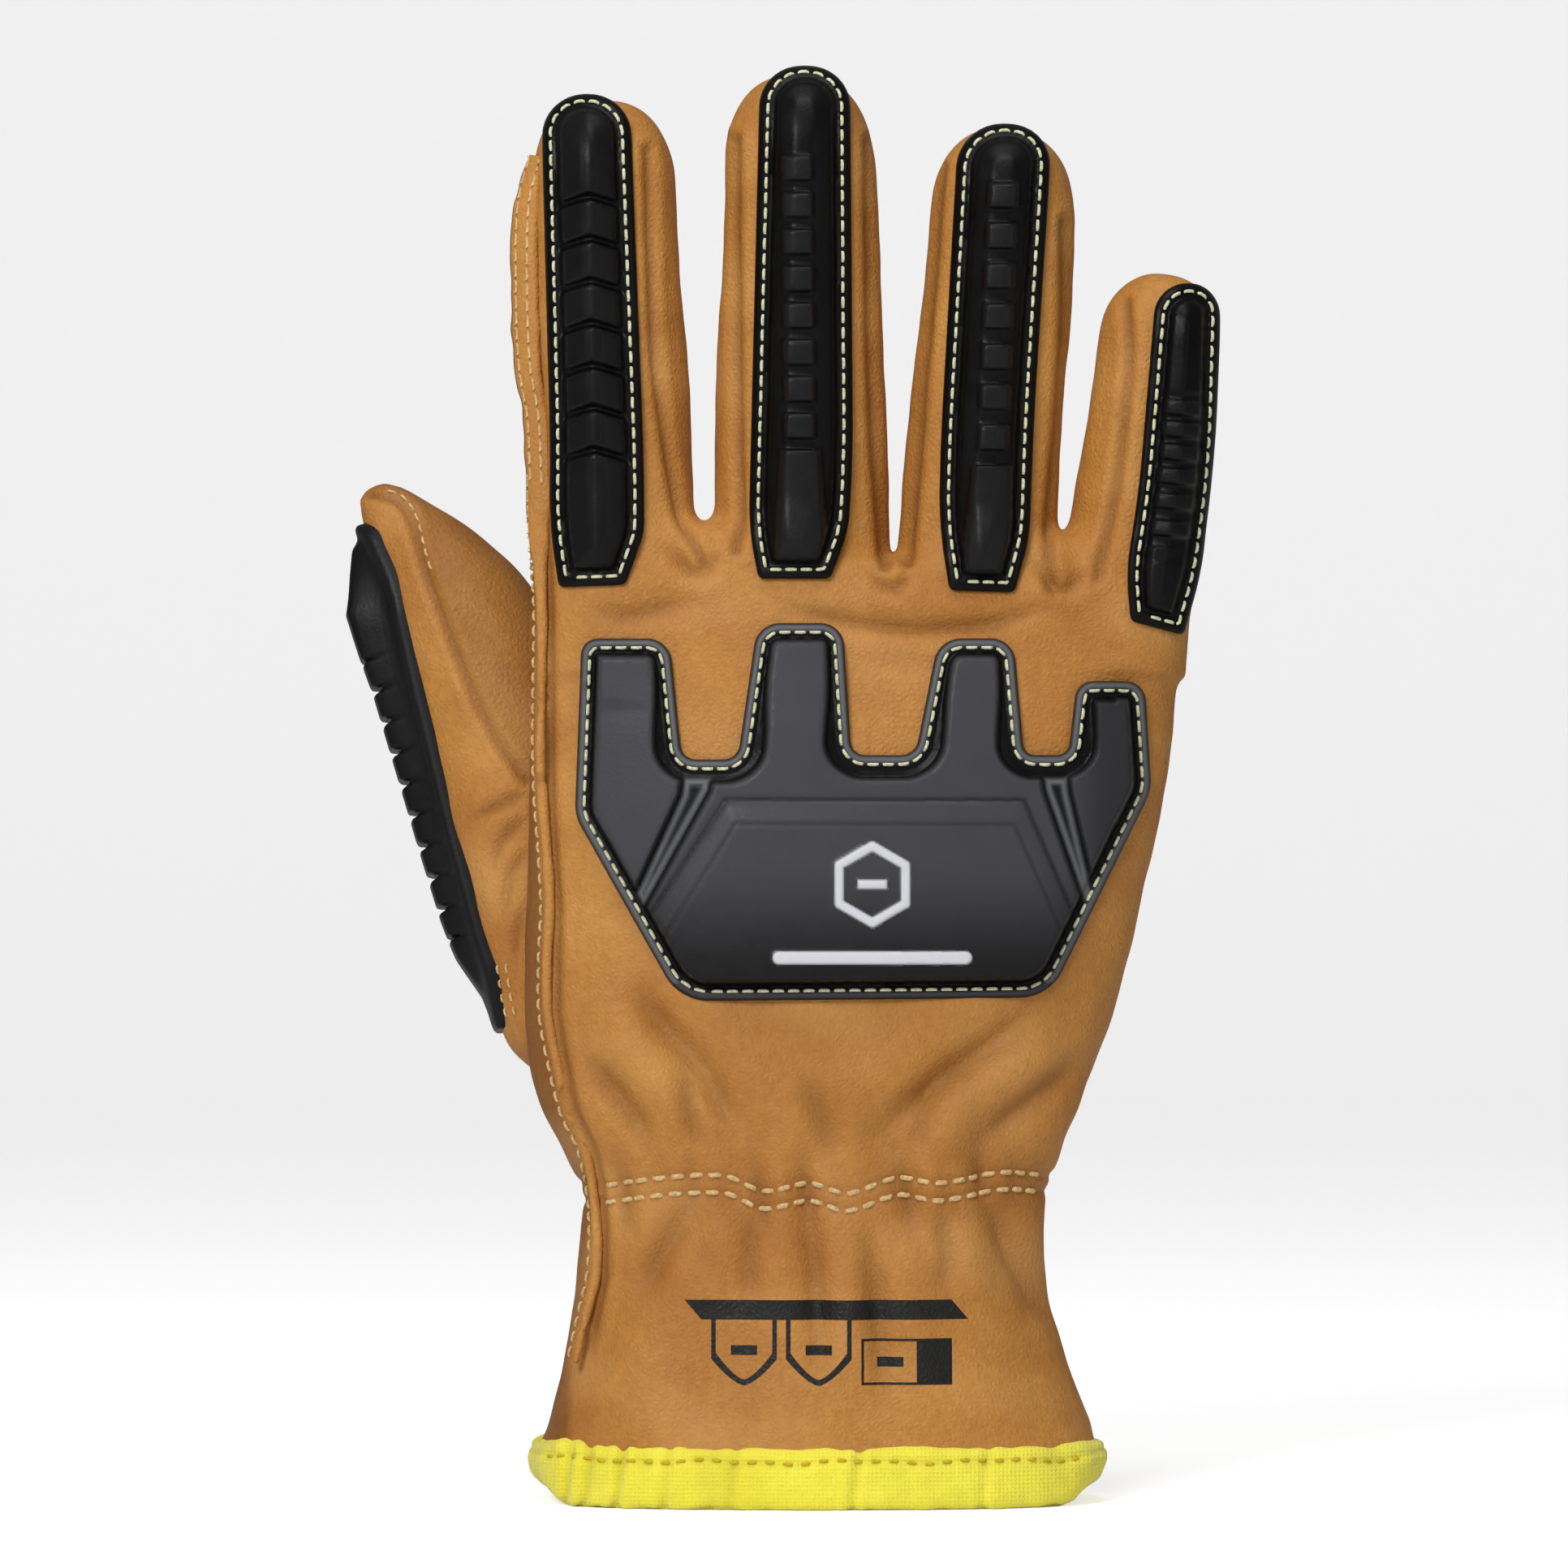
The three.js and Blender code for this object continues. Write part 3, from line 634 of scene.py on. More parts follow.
# Folds on the back: a path of x and z, the fold's half width and its depth.
FOLDS = (
    (((-37, 99), (-29, 89), (-20, 79), (-13, 65)), 5.2, 2.4),
    (((-44, 84), (-36, 75), (-29, 65)), 4.6, 1.9),
    (((-24, 82), (-23, 73), (-21, 64)), 3.4, 1.0),
    (((-3, 80), (1, 72), (4, 63)), 4.6, 1.0),
    (((45, 94), (33, 85), (19, 75), (8, 64)), 5.4, 2.4),
    (((51, 84), (39, 74), (29, 65)), 4.6, 1.9),
    (((22, 80), (20, 72), (17, 64)), 3.4, 0.9),
    (((-22, 57), (-27, 48), (-33, 36)), 5.0, 1.9),
    (((-11, 56), (-12, 46), (-12, 36)), 4.0, 1.1),
    (((-2, 56), (0, 42), (1, 22)), 4.4, 1.5),
    (((9, 55), (11, 40), (13, 16)), 4.6, 1.5),
    (((22, 56), (24, 46), (23, 38)), 4.0, 1.0),
    (((31, 58), (37, 46), (44, 31)), 5.0, 1.9),
    (((-12, 168.5), (-1, 163.5), (17, 160.8), (34, 162), (48, 167)), 2.6, 1.3),
    (((-43, 166), (-34, 163), (-20, 167)), 3.4, 0.8),
    (((-28, 177), (-22, 171), (-16, 175)), 2.2, 1.2),
    (((39, 174), (45, 168), (51, 172)), 2.2, 1.3),
    (((9, 173), (14, 168), (19, 172)), 2.0, 0.9),
)
# Side seams of the fingers, seen from the back.
SEAMS = (
    ((-30.8, 249), (-29.8, 217), (-28, 200), (-24.8, 182), (-20.5, 173)),
    ((-14.4, 251), (-14.2, 202), (-13.6, 182), (-14.5, 175)),
    ((10.0, 251), (9.9, 232), (10.6, 202), (12.8, 172)),
    ((23.6, 246), (21.4, 222), (18.9, 193), (17.2, 173)),
    ((46.0, 236), (45.2, 205), (42.9, 180), (43.6, 168)),
    ((57.4, 221), (57.8, 209), (55.6, 188), (51.8, 170)),
)
# The piped seam down the thumb side, from the index fingertip to the cuff: x, z and width.
EDGE_SEAM = np.array([
    (-51.6, 248, 2.4), (-53.8, 239, 4.2), (-54.1, 224, 4.4), (-53.6, 210, 4.2),
    (-52.0, 200, 4.0), (-51.5, 190, 3.8), (-51.3, 180, 3.3), (-50.6, 172, 2.5),
    (-50.1, 164, 2.0), (-50.2, 152, 1.9), (-50.3, 140, 1.9), (-50.0, 130, 1.9),
    (-49.2, 120, 1.9), (-48.7, 110, 1.9), (-49.1, 100, 1.9), (-49.0, 90, 1.9),
    (-47.1, 80, 1.9), (-45.0, 72, 1.9), (-42.1, 66, 2.0), (-40.4, 58, 2.0),
    (-39.8, 50, 2.0), (-40.2, 42, 2.0), (-42.0, 34, 1.8), (-43.8, 26, 1.2),
])
WRIST_ROW = (
    (-38.5, 58.6), (-27, 60.3), (-16.5, 60.6), (-9.5, 57.8), (-1, 59.3), (6, 57.4),
    (15, 60.3), (23, 59.3), (34, 61.1), (41.5, 60.5),
)
ROW_GAP = 3.2


def add_fold(flat, path, width, depth):
    """The displacement of one fold, a rounded groove between soft swells faded at its ends, and
    where its groove gets painted shade.
    """
    gap, share = path_distance(flat, path)
    fade = smoothstep(0, 0.35, share) * smoothstep(0, 0.35, 1 - share)
    groove = bell(gap, 0.48 * width)
    swell = bell(gap - 1.5 * width, 0.9 * width)
    return fade * depth * (0.45 * swell - groove), fade * groove


def gathers(points):
    """Pleats that the wrist elastic pulls into the leather, wider further from its rows, with
    painted shade in their hollows and along the rows.
    """
    x, z = points[:, 0], points[:, 2]
    row = np.interp(x, *np.array(WRIST_ROW).T) - ROW_GAP / 2
    away = z - row
    near = ripple(np.stack([x + 0.1 * away, 0 * x, 0.25 * z], 1), 6.5, 11, 5)
    far = ripple(np.stack([x + 0.2 * away * np.sin(x / 12), 0 * x, 0.12 * z], 1), 17, 12, 5)
    near_share, far_share = bell(away, 6), bell(away, 17)
    pinch = sum(bell(away - side * ROW_GAP / 2, 0.9) for side in (-1, 1))
    relief = 0.75 * near * near_share + 0.95 * far * far_share - 0.45 * pinch
    # Painted shade in the pleats' hollows and along the pinched rows.
    dark = np.clip(-near, 0, 1) * near_share + 0.4 * np.clip(-far, 0, 1) * far_share
    return relief, 0.7 * (dark + 0.25 * pinch)


def seam_groove(gap, depth=0.7):
    """A stitched seam: a narrow groove between two low rolls of leather, and where the groove gets
    painted shade.
    """
    groove = bell(gap, 0.9)
    return depth * (0.45 * bell(gap - 2.1, 1.1) - groove), groove


def edge_relief(points, normals, back):
    """The groove beside the piped edge, and painted shade in it and over the side panel beyond it,
    which lies in shadow.
    """
    edge_x = np.interp(points[:, 2], EDGE_SEAM[::-1, 1], EDGE_SEAM[::-1, 0])
    beyond = edge_x - points[:, 0]
    lift, dark = seam_groove(np.abs(beyond + 1.4), 0.5)
    sewn_part = smoothstep(24, 34, points[:, 2]) * (1 - smoothstep(238, 246, points[:, 2]))
    # Painted shade over the side panel beyond the edge, where it turns away from the light.
    panel = 0.85 * smoothstep(0.5, 2.5, beyond) * (1 - smoothstep(178, 190, points[:, 2]))
    seen = back * sewn_part
    return seen * lift, np.maximum(seen * 0.8 * dark, panel * (normals[:, 1] < 0.4))


def flex_creases(points, palm):
    """The pair of creases at each flex line, on the palm side of the fingers, and their painted
    shade.
    """
    relief, painted_shade = np.zeros(len(points)), np.zeros(len(points))
    for name, (*_, bends, _) in FINGERS.items():
        foot, along = finger_axes(name)
        across = (points[:, 0] - foot[0]) * along[2] - (points[:, 2] - FOOT_Z) * along[0]
        on_finger = (np.abs(across) < FINGERS[name][3][0] + 1) & (points[:, 2] > 176)
        for bend in bends:
            s = finger_distance(name, points[:, 0], points[:, 2]) - bend
            line = palm * (bell(s, 1.6) + 0.6 * bell(s - 4.2, 1.3))
            line = np.where(on_finger & (np.abs(s) < 8), line, 0)
            relief -= 0.7 * line
            painted_shade = np.maximum(painted_shade, 0.6 * line)
    return relief, painted_shade


def leather_relief(points, normals):
    """How far the leather stands off its smooth shape, and the painted shade in its creases, folds,
    seams and pleats and over the side panel.
    """
    flat = points[:, [0, 2]]
    back = smoothstep(-0.05, 0.4, -normals[:, 1])
    palm = smoothstep(0.1, 0.6, normals[:, 1])
    cuff = smoothstep(56, 40, points[:, 2])
    relief = 0.28 * ripple(points, 26, 3) + 0.07 * ripple(points, 9, 4)
    relief += cuff * 0.6 * ripple(points * (1, 1, 0.25), 26, 5)
    painted_shade = np.zeros(len(points))
    for path, width, depth in FOLDS:
        lift, dark = add_fold(flat, spline(path, 2), width, depth)
        relief += lift * back
        painted_shade = np.maximum(painted_shade, 0.5 * dark * back * min(1, depth))
    for path in SEAMS:
        lift, dark = seam_groove(path_distance(flat, spline(path, 2))[0])
        relief += back * lift
        painted_shade = np.maximum(painted_shade, back * 0.8 * dark)
    for lift, dark in (edge_relief(points, normals, back), gathers(points),
                       flex_creases(points, palm)):
        relief += lift
        painted_shade = np.maximum(painted_shade, dark)
    under_hem = smoothstep(9, 15, points[:, 2])
    return relief * under_hem, np.clip(painted_shade, 0, 1)


def shaped(verts, faces, relief_of, hollow):
    """Smooths a meshed field and gives its outer face the relief. hollow marks inner faces."""
    verts = relax(verts, faces, 3)
    normals = vertex_normals(verts, faces)
    relief, painted_shade = relief_of(verts, normals)
    outer = ~hollow
    verts = verts + normals * (relief * outer)[:, None]
    wear = np.clip(ripple(verts, 30, 9) * 0.4, 0, 1) * outer
    return verts, {"painted_shade": painted_shade * outer, "wear": wear}


def tree_of(verts, faces):
    return BVHTree.FromPolygons(verts.tolist(), faces.tolist())


grid = Grid((-64, -34, 3), (84, 34, 268), LEATHER_VOXEL)
body, tube = hand_and_fingers(grid.x, grid.y, grid.z)
cavity = np.maximum(tube + LEATHER, grid.z - CAVITY_TOP)
shell = np.maximum(np.maximum(body, -cavity), LEATHER_FOOT - grid.z)
verts, faces = grid.mesh(shell)
depth_in = hand_tube(verts[:, 0], verts[:, 1], verts[:, 2])
hollow = (depth_in < -0.8 * LEATHER) & (verts[:, 2] < CAVITY_TOP + 1)
verts, attributes = shaped(verts, faces, leather_relief, hollow)
leather_tree = tree_of(verts, faces)
leather_pieces = add_pieces("leather", verts, faces, leather, "leather", hand_regions, attributes)
leather_pieces["wrist"].data.materials[0] = cuff_leather


# The seam across the thumb, from its tip to where the thumb meets the hand.
THUMB_SEAM = (
    (-83, 186.5), (-80.6, 186.2), (-77.8, 185.2), (-75.8, 182.9), (-74.5, 179.9), (-73.6, 176.2),
    (-72, 171), (-69.9, 165.4), (-66.4, 156.5), (-63.1, 148.4), (-60.4, 143.2), (-57.9, 139),
    (-53.3, 133),
)
# Creases where the thumb folds against the hand.
THUMB_FOLDS = (
    (((-52, 131), (-59, 128), (-65, 125)), 1.9, 0.7),
    (((-52, 127), (-58, 121.5), (-61, 115)), 1.9, 0.6),
    (((-52, 121), (-56.5, 115), (-58, 106)), 1.9, 0.7),
    (((-51.5, 112), (-55, 106), (-56, 97)), 1.8, 0.5),
)


def thumb_relief(points, normals):
    """Soft waves, the seam across the back of the thumb and its flex creases, with painted shade in
    the seam, the creases and the folds, and over the pad side beyond the seam.
    """
    s = (points - THUMB_FOOT) @ THUMB_ALONG
    flat = points[:, [0, 2]]
    relief = 0.18 * ripple(points, 20, 21) + 0.07 * ripple(points, 8, 22)
    back = smoothstep(0.0, 0.4, -normals[:, 1])
    gap, _ = path_distance(flat, spline(THUMB_SEAM, 1.5))
    lift, dark = seam_groove(gap, 0.8)
    seam_x = np.interp(points[:, 2], *np.array(THUMB_SEAM[::-1]).T[::-1])
    # Painted shade over the pad side beyond the seam, which faces away from the light.
    pad = 0.5 * smoothstep(-1, 2, points[:, 0] - seam_x)
    folded = np.zeros(len(points))
    for path, width, depth in THUMB_FOLDS:
        rise, dark_fold = add_fold(flat, spline(path, 2), width, depth)
        relief += rise * back
        folded = np.maximum(folded, 0.6 * dark_fold * back)
    inner = smoothstep(0.1, 0.6, normals[:, 0]) * smoothstep(-0.3, 0.2, normals[:, 1])
    line = bell(s - THUMB_BEND, 2) + 0.6 * bell(s - THUMB_BEND - 6, 1.8)
    relief = relief - 0.7 * inner * line + back * lift
    painted_shade = np.maximum(0.6 * inner * line, back * 0.9 * dark)
    return relief, np.clip(np.maximum(np.maximum(painted_shade, pad), folded), 0, 1)


thumb_grid = Grid((-94, -16, 66), (-18, 46, 198), LEATHER_VOXEL)
thumb_field = thumb(thumb_grid.x, thumb_grid.y, thumb_grid.z)
verts, faces = thumb_grid.mesh(thumb_field)
verts, attributes = shaped(verts, faces, thumb_relief, np.zeros(len(verts), bool))
thumb_tree = tree_of(verts, faces)
leather_pieces |= add_pieces("leather", verts, faces, leather, "leather", thumb_regions, attributes)

# ---- linings and elastic ----

grid = Grid((-62, -32, 0.6), (82, 32, 262), LINING_VOXEL)
body, tube = hand_and_fingers(grid.x, grid.y, grid.z)
inside = np.maximum(tube + LINING_IN + LINING_THICKNESS, grid.z - CAVITY_TOP)
lining = np.maximum(body + LINING_IN, -inside)
verts, faces = grid.mesh(np.maximum(lining, LEATHER_FOOT + 0.4 - grid.z))
verts = relax(verts, faces, 2)
lining_pieces = add_pieces("lining", verts, faces, lining_fabric, "lining", hand_regions)
grid = Grid((-90, -12, 70), (-22, 42, 194), LINING_VOXEL)
verts, faces = grid.mesh(thumb(grid.x, grid.y, grid.z) + LINING_IN)
lining_pieces |= add_pieces("lining", relax(verts, faces, 2), faces, lining_fabric, "lining",
                            thumb_regions)

grid = Grid((-40, -26, 52), (40, -2, 64), 0.5)
tube = hand_tube(grid.x, grid.y, grid.z)
strip = np.maximum(np.abs(tube + 2.3) - 0.5, np.abs(grid.z - 58) - 3.4)
strip = np.maximum(np.maximum(strip, np.abs(grid.x) - 35), grid.y + 4)
verts, faces = grid.mesh(strip)
elastic = add_pieces("wrist_elastic", verts, faces, elastic_fabric, "elastic", None, keep="wrist")
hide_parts("wrist_elastic")

# ---- hem binding ----


HEM_ROW = 8.9
# Where the tape is folded over at the back: x, and how deep the fold is.
HEM_FOLDS = (
    (-45.4, 0.8), (-41.9, 0.6), (-35.8, 0.9), (-27, 0.5), (-15, 0.3), (7.4, 0.6), (31, 0.3),
)


def hem_row(x):
    """The height of the stitch row, which waves along the hem."""
    return HEM_ROW + 0.25 * np.sin(x / 4.1) + 0.2 * np.sin(x / 1.9)


def hem_relief(points, normals):
    """Puckers of the folded tape, the groove that its stitch row pulls in, and painted shade in the
    groove and the puckers' hollows.
    """
    x, z = points[:, 0], points[:, 2]
    outer = normals[:, 0] * x / 50 + normals[:, 1] * points[:, 1] / 28 > 0.2
    puckers = 0.28 * ripple(points * (1, 1, 0.18), 13, 31) + 0.12 * ripple(points, 6, 32)
    back = smoothstep(0, 0.5, -normals[:, 1])
    for at, depth in HEM_FOLDS:
        gap = np.abs(x - at - 0.12 * (z - 6))
        puckers += back * depth * (0.5 * bell(gap - 1.8, 1.1) - bell(gap, 0.8))
    groove = 0.45 * bell(z - hem_row(x), 0.8)
    relief = np.maximum(puckers, -0.7) - groove
    return np.where(outer, relief, 0.0), np.clip(0.9 * groove - 0.9 * puckers, 0, 1) * outer


grid = Grid((-60, -36, -2), (62, 35, 15), 0.6)
tube = hand_tube(grid.x, grid.y, grid.z)
sleeve = smooth_max(np.abs(tube + 1.9) - 3.5, np.abs(grid.z - HEM_TOP / 2) - HEM_TOP / 2, 3.0)
verts, faces = grid.mesh(sleeve)
verts = relax(verts, faces, 2)
relief, painted_shade = hem_relief(verts, vertex_normals(verts, faces))
verts = verts + vertex_normals(verts, faces) * relief[:, None]
rise = np.clip(verts[:, 2] / HEM_TOP, 0, 1)
verts[:, 2] += rise * 0.4 * ripple(verts * (1, 1, 0), 24, 33)
corner = smoothstep(44, 54, np.abs(verts[:, 0]))
verts[:, 2] += 3 * corner * (1 - rise)
verts[:, 0] *= 1 - 0.045 * corner * (1 - rise) ** 2
verts[:, 2] = np.maximum(verts[:, 2], 0.0)
hem_tree = tree_of(verts, faces)
hem = add_pieces("hem_binding", verts, faces, hem_fabric, "hem_binding", None,
                 {"painted_shade": painted_shade}, keep="wrist")
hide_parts("hem_binding")

# ---- rubber guards ----

# Height and width of the flange that each guard is sewn down by, how far in its stitches
# run, and how far under the leather's surface the guard's back lies.
FLANGE = 1.7
FLANGE_WIDTH = 3.3
STITCH_INSET = 1.7
GUARD_SUNK = 0.9
GUARD_EDGE_BLEND = 0.9


class Board:
    """A flat drawing board in the glove's space: across, inwards and along, from an origin."""

    def __init__(self, origin, inward, along):
        self.origin = np.asarray(origin, float)
        self.axes = np.stack([np.cross(inward, along), inward, along])

    def place(self, a, b, c):
        """The glove's x, y and z of board coordinates."""
        return [self.origin[i] + a * self.axes[0, i] + b * self.axes[1, i] + c * self.axes[2, i]
                for i in range(3)]

    def points(self, drawn):
        return self.origin + drawn @ self.axes


BACK = Board((0, 0, 0), np.array((0.0, 1, 0)), np.array((0.0, 0, 1)))
THUMB_GUARD_TURN = math.radians(4)
THUMB_ACROSS = unit(np.cross((0, 1, 0), THUMB_ALONG))
THUMB_DEEP = np.cross(THUMB_ALONG, THUMB_ACROSS)
THUMB_SIDE = Board(
    THUMB_FOOT,
    THUMB_ACROSS * math.cos(THUMB_GUARD_TURN) + THUMB_DEEP * math.sin(THUMB_GUARD_TURN),
    THUMB_ALONG,
)


def signed_polygon(outline, a, b):
    """Signed distance from points (a, b) to a closed outline, negative inside."""
    outline = np.asarray(outline, float)
    distance = np.full(np.broadcast(a, b).shape, 1e9)
    inside = np.zeros(distance.shape, bool)
    for (a0, b0), (a1, b1) in zip(outline, np.roll(outline, -1, axis=0)):
        da, db = a1 - a0, b1 - b0
        t = np.clip(((a - a0) * da + (b - b0) * db) / (da * da + db * db + 1e-12), 0, 1)
        distance = np.minimum(distance, np.hypot(a - a0 - t * da, b - b0 - t * db))
        if b0 != b1:
            crosses = ((b0 > b) != (b1 > b)) & (a < (b - b0) * da / db + a0)
            inside ^= crosses
    return np.where(inside, -distance, distance)


def rounded_outline(corners):
    """A closed outline from (a, b, radius) corners, each turned into an arc-like curve."""
    points, radii = np.array(corners)[:, :2], np.array(corners)[:, 2]
    curve_points = []
    for before, corner, after, radius in zip(
        np.roll(points, 1, axis=0), points, np.roll(points, -1, axis=0), radii
    ):
        reach = min(radius, 0.48 * np.linalg.norm(before - corner),
                    0.48 * np.linalg.norm(after - corner))
        start, end = corner + unit(before - corner) * reach, corner + unit(after - corner) * reach
        for t in np.linspace(0, 1, 9):
            shares = np.array(((1 - t) ** 2, math.sqrt(2) * t * (1 - t), t * t))
            curve_points.append(shares / shares.sum() @ np.array((start, corner, end)))
    return np.array(curve_points)


def inset(outline, distance):
    """A closed outline moved inwards, its ends joined, sampled at a small even step."""
    even = resample(np.concatenate([outline, outline[:1]]), 0.7)[:-1]
    tangent = np.roll(even, -1, axis=0) - np.roll(even, 1, axis=0)
    tangent /= np.maximum(np.linalg.norm(tangent, axis=1, keepdims=True), 1e-9)
    following = np.roll(even, -1, axis=0)
    area = np.sum(even[:, 0] * following[:, 1] - following[:, 0] * even[:, 1])
    moved = even + np.stack([-tangent[:, 1], tangent[:, 0]], 1) * np.sign(area) * distance
    kept = signed_polygon(outline, moved[:, 0], moved[:, 1]) < -0.93 * distance
    moved = moved[kept]
    return resample(np.concatenate([moved, moved[:1]]), 0.7)


# Corners of each guard as drawn from the back: x, z and how far the corner is rounded.
GUARD_OUTLINES = {
    "index": ((-47.1, 168.4, 1), (-48.9, 180, 6), (-48.8, 196, 6), (-50.5, 259.6, 9),
              (-34.0, 259.6, 9), (-31.4, 191.6, 8), (-31.3, 178.4, 2), (-34.8, 168.8, 1)),
    "middle": ((-10.4, 169.9, 1), (-12.2, 179.3, 6), (-11.8, 196, 6), (-10.1, 265.0, 9.5),
               (6.5, 265.0, 9.5), (7.0, 192.6, 8), (6.2, 178.8, 3), (2.8, 169.9, 1)),
    "ring": ((24.6, 167.8, 1), (22.7, 180.3, 6), (23.1, 196, 6), (26.4, 254.2, 9.5),
             (43.8, 254.2, 9.5), (40.3, 200, 8), (39.5, 178, 3), (36.6, 167.4, 1)),
    "little": ((57.9, 162.2, 1), (57.1, 171.3, 4), (59.5, 186.5, 6), (62.8, 224.6, 8),
               (75.0, 224.6, 8), (74.0, 191, 8), (71.3, 171.3, 4), (67.9, 159.6, 1)),
    "knuckle": ((-24.8, 92.6, 5), (-44.1, 126.5, 2), (-42.9, 159, 3), (-26.7, 159, 4),
                (-24.4, 136.8, 2.5), (-14.2, 136.8, 2.5), (-10.6, 161.8, 4), (5.1, 161.8, 4),
                (6.6, 137.6, 2.5), (18.3, 137.6, 2.5), (22.6, 159, 4), (36.4, 159, 4),
                (38.2, 137.6, 2), (46.4, 137.6, 2), (48, 151.2, 3), (60.6, 151.2, 3.5),
                (61.9, 131.2, 2), (42.9, 93.2, 5)),
    "thumb": ((-4.5, 3, 1), (-7.8, 12, 3), (-7.8, 88, 6), (-4.5, 102, 4), (4.5, 102, 4),
              (7.8, 88, 6), (7.8, 12, 3), (4.5, 3, 1)),
}
GUARD_OUTLINES = {name: rounded_outline(corners) for name, corners in GUARD_OUTLINES.items()}
# The middle line of each finger guard: x at z 200, and how much x grows with z.
GUARD_MIDDLES = {"index": (-40.6, -0.02), "middle": (-2.8, -0.01), "ring": (32.9, 0.04),
                 "little": (64.8, 0.1)}


def steps(z, centres, half, edge=0.35):
    """1 within half of any centre, falling to 0 over a soft edge."""
    total = np.zeros(np.broadcast(z, 0.0).shape)
    for centre in centres:
        total = np.maximum(total, 1 - smoothstep(half - edge, half + edge, np.abs(z - centre)))
    return total


def chevrons(off, z, body):
    """The index guard: a ridged strip cut by seven arched grooves."""
    cuts = steps(z + 0.3 * np.abs(off), 193.6 + 7.75 * np.arange(7), 0.65, 0.35)
    ridge = np.clip(1 - np.abs(off) / 5.5, 0, 1)
    return body * (1.0 * ridge - 1.5 * cuts), body * (1 - cuts) * 0.5


def blocks(off, z, body, first, pitch, count, ramp_top, ramp_foot):
    """The middle and ring guards: a row of square blocks over a ramp that widens downwards."""
    rows = steps(z, first + pitch * np.arange(count), 2.25)
    block = body * rows * (1 - smoothstep(2.3, 3.1, np.abs(off)))
    spread = 2.9 + 1.3 * (ramp_top - z) / (ramp_top - ramp_foot)
    within = (z < ramp_top) & (z > ramp_foot)
    ramp = body * within * (1 - smoothstep(0, 1.2, np.abs(off) - spread))
    return 1.1 * np.maximum(block, ramp), np.maximum(block, ramp)


def slats(off, z, body):
    """The little finger's guard: six cross slats over a small facet."""
    rows = steps(z + 0.1 * off, (179.4, 184.4, 189.0, 193.4, 197.6, 201.6), 1.35)
    ladder = body * (z > 173) * (z < 204)
    facet = body * np.clip(1 - np.abs(off) / 4, 0, 1) * (z < 176)
    return ladder * (rows - 0.4) + facet, 0.6 * np.maximum(ladder * rows, facet)


def finger_guard_relief(name, x, z, depth):
    """Height of a finger guard over the leather, and how grey its raised ridges, blocks and slats
    are painted: partly their own grey, partly painted sheen.
    """
    body = smoothstep(FLANGE_WIDTH - 0.9, FLANGE_WIDTH + 0.7, depth)
    hump = np.clip((depth - FLANGE_WIDTH) / 3.5, 0, 1)
    groove = 1 - smoothstep(0.25, 0.75, np.abs(depth - FLANGE_WIDTH + 0.5))
    middle, lean = GUARD_MIDDLES[name]
    off = x - middle - lean * (z - 200)
    if name == "index":
        extra, grey_and_painted_sheen = chevrons(off, z, body)
    elif name == "middle":
        extra, grey_and_painted_sheen = blocks(off, z, body, 197.9, 6.75, 8, 193.4, 171.8)
    elif name == "ring":
        extra, grey_and_painted_sheen = blocks(off, z, body, 195.8, 7.4, 7, 190.6, 170.0)
    else:
        extra, grey_and_painted_sheen = slats(off, z, body)
    foot, _ = finger_axes(name)
    fade = 0.45 + 0.55 * smoothstep(0, 12, FINGERS[name][2] + FOOT_Z - z)
    height = FLANGE + fade * (body * (0.9 + 1.3 * hump) - 0.5 * groove + extra)
    return height, 0.12 * grey_and_painted_sheen, 0 * grey_and_painted_sheen


# How far the knuckle guard stands off its flange, how deep its channels are sunk, and how
# far its bevel climbs to the panel.
KNUCKLE_RISE = 3.0
CHANNEL_DEPTH = 2.3
BEVEL_RISE = 1.1
# The knuckle guard's raised panel, the wider outline of its bevel, and the two channels.
PANEL = ((-27.6, 104.5), (-14.6, 125), (36.3, 125), (45.7, 104), (40, 88), (-22, 88))
BEVEL = ((-31.5, 106.5), (-16.4, 129.4), (38.2, 129.4), (48.6, 105.5), (44, 86), (-26, 86))
CHANNELS = (
    ((-24.4, 134), (-25.0, 130.4), (-33.4, 112.2), (-31.4, 108.6), (-19.0, 131), (-18.4, 134)),
    ((41.2, 134), (41.6, 131), (49.4, 108.8), (51.4, 112), (46.9, 131), (46.6, 134)),
)


def emblem(x, z):
    """A plain hexagon ring around a short bar, over a long bar: 1 on it and 0 off it."""
    angles = np.radians(60 * np.arange(6) + 30)
    hexagon = np.stack([10.4 + 7 * np.cos(angles), 114 + 7 * np.sin(angles)], 1)
    ring = np.abs(signed_polygon(hexagon, x, z)) - 0.75
    bar = np.hypot(np.maximum(np.abs(x - 10.4) - 17, 0), z - 100.6) - 1.1
    core = np.maximum(np.abs(x - 10.4) - 2.6, np.abs(z - 114) - 0.75)
    return 1 - smoothstep(-0.15, 0.25, np.minimum(np.minimum(ring, bar), core))


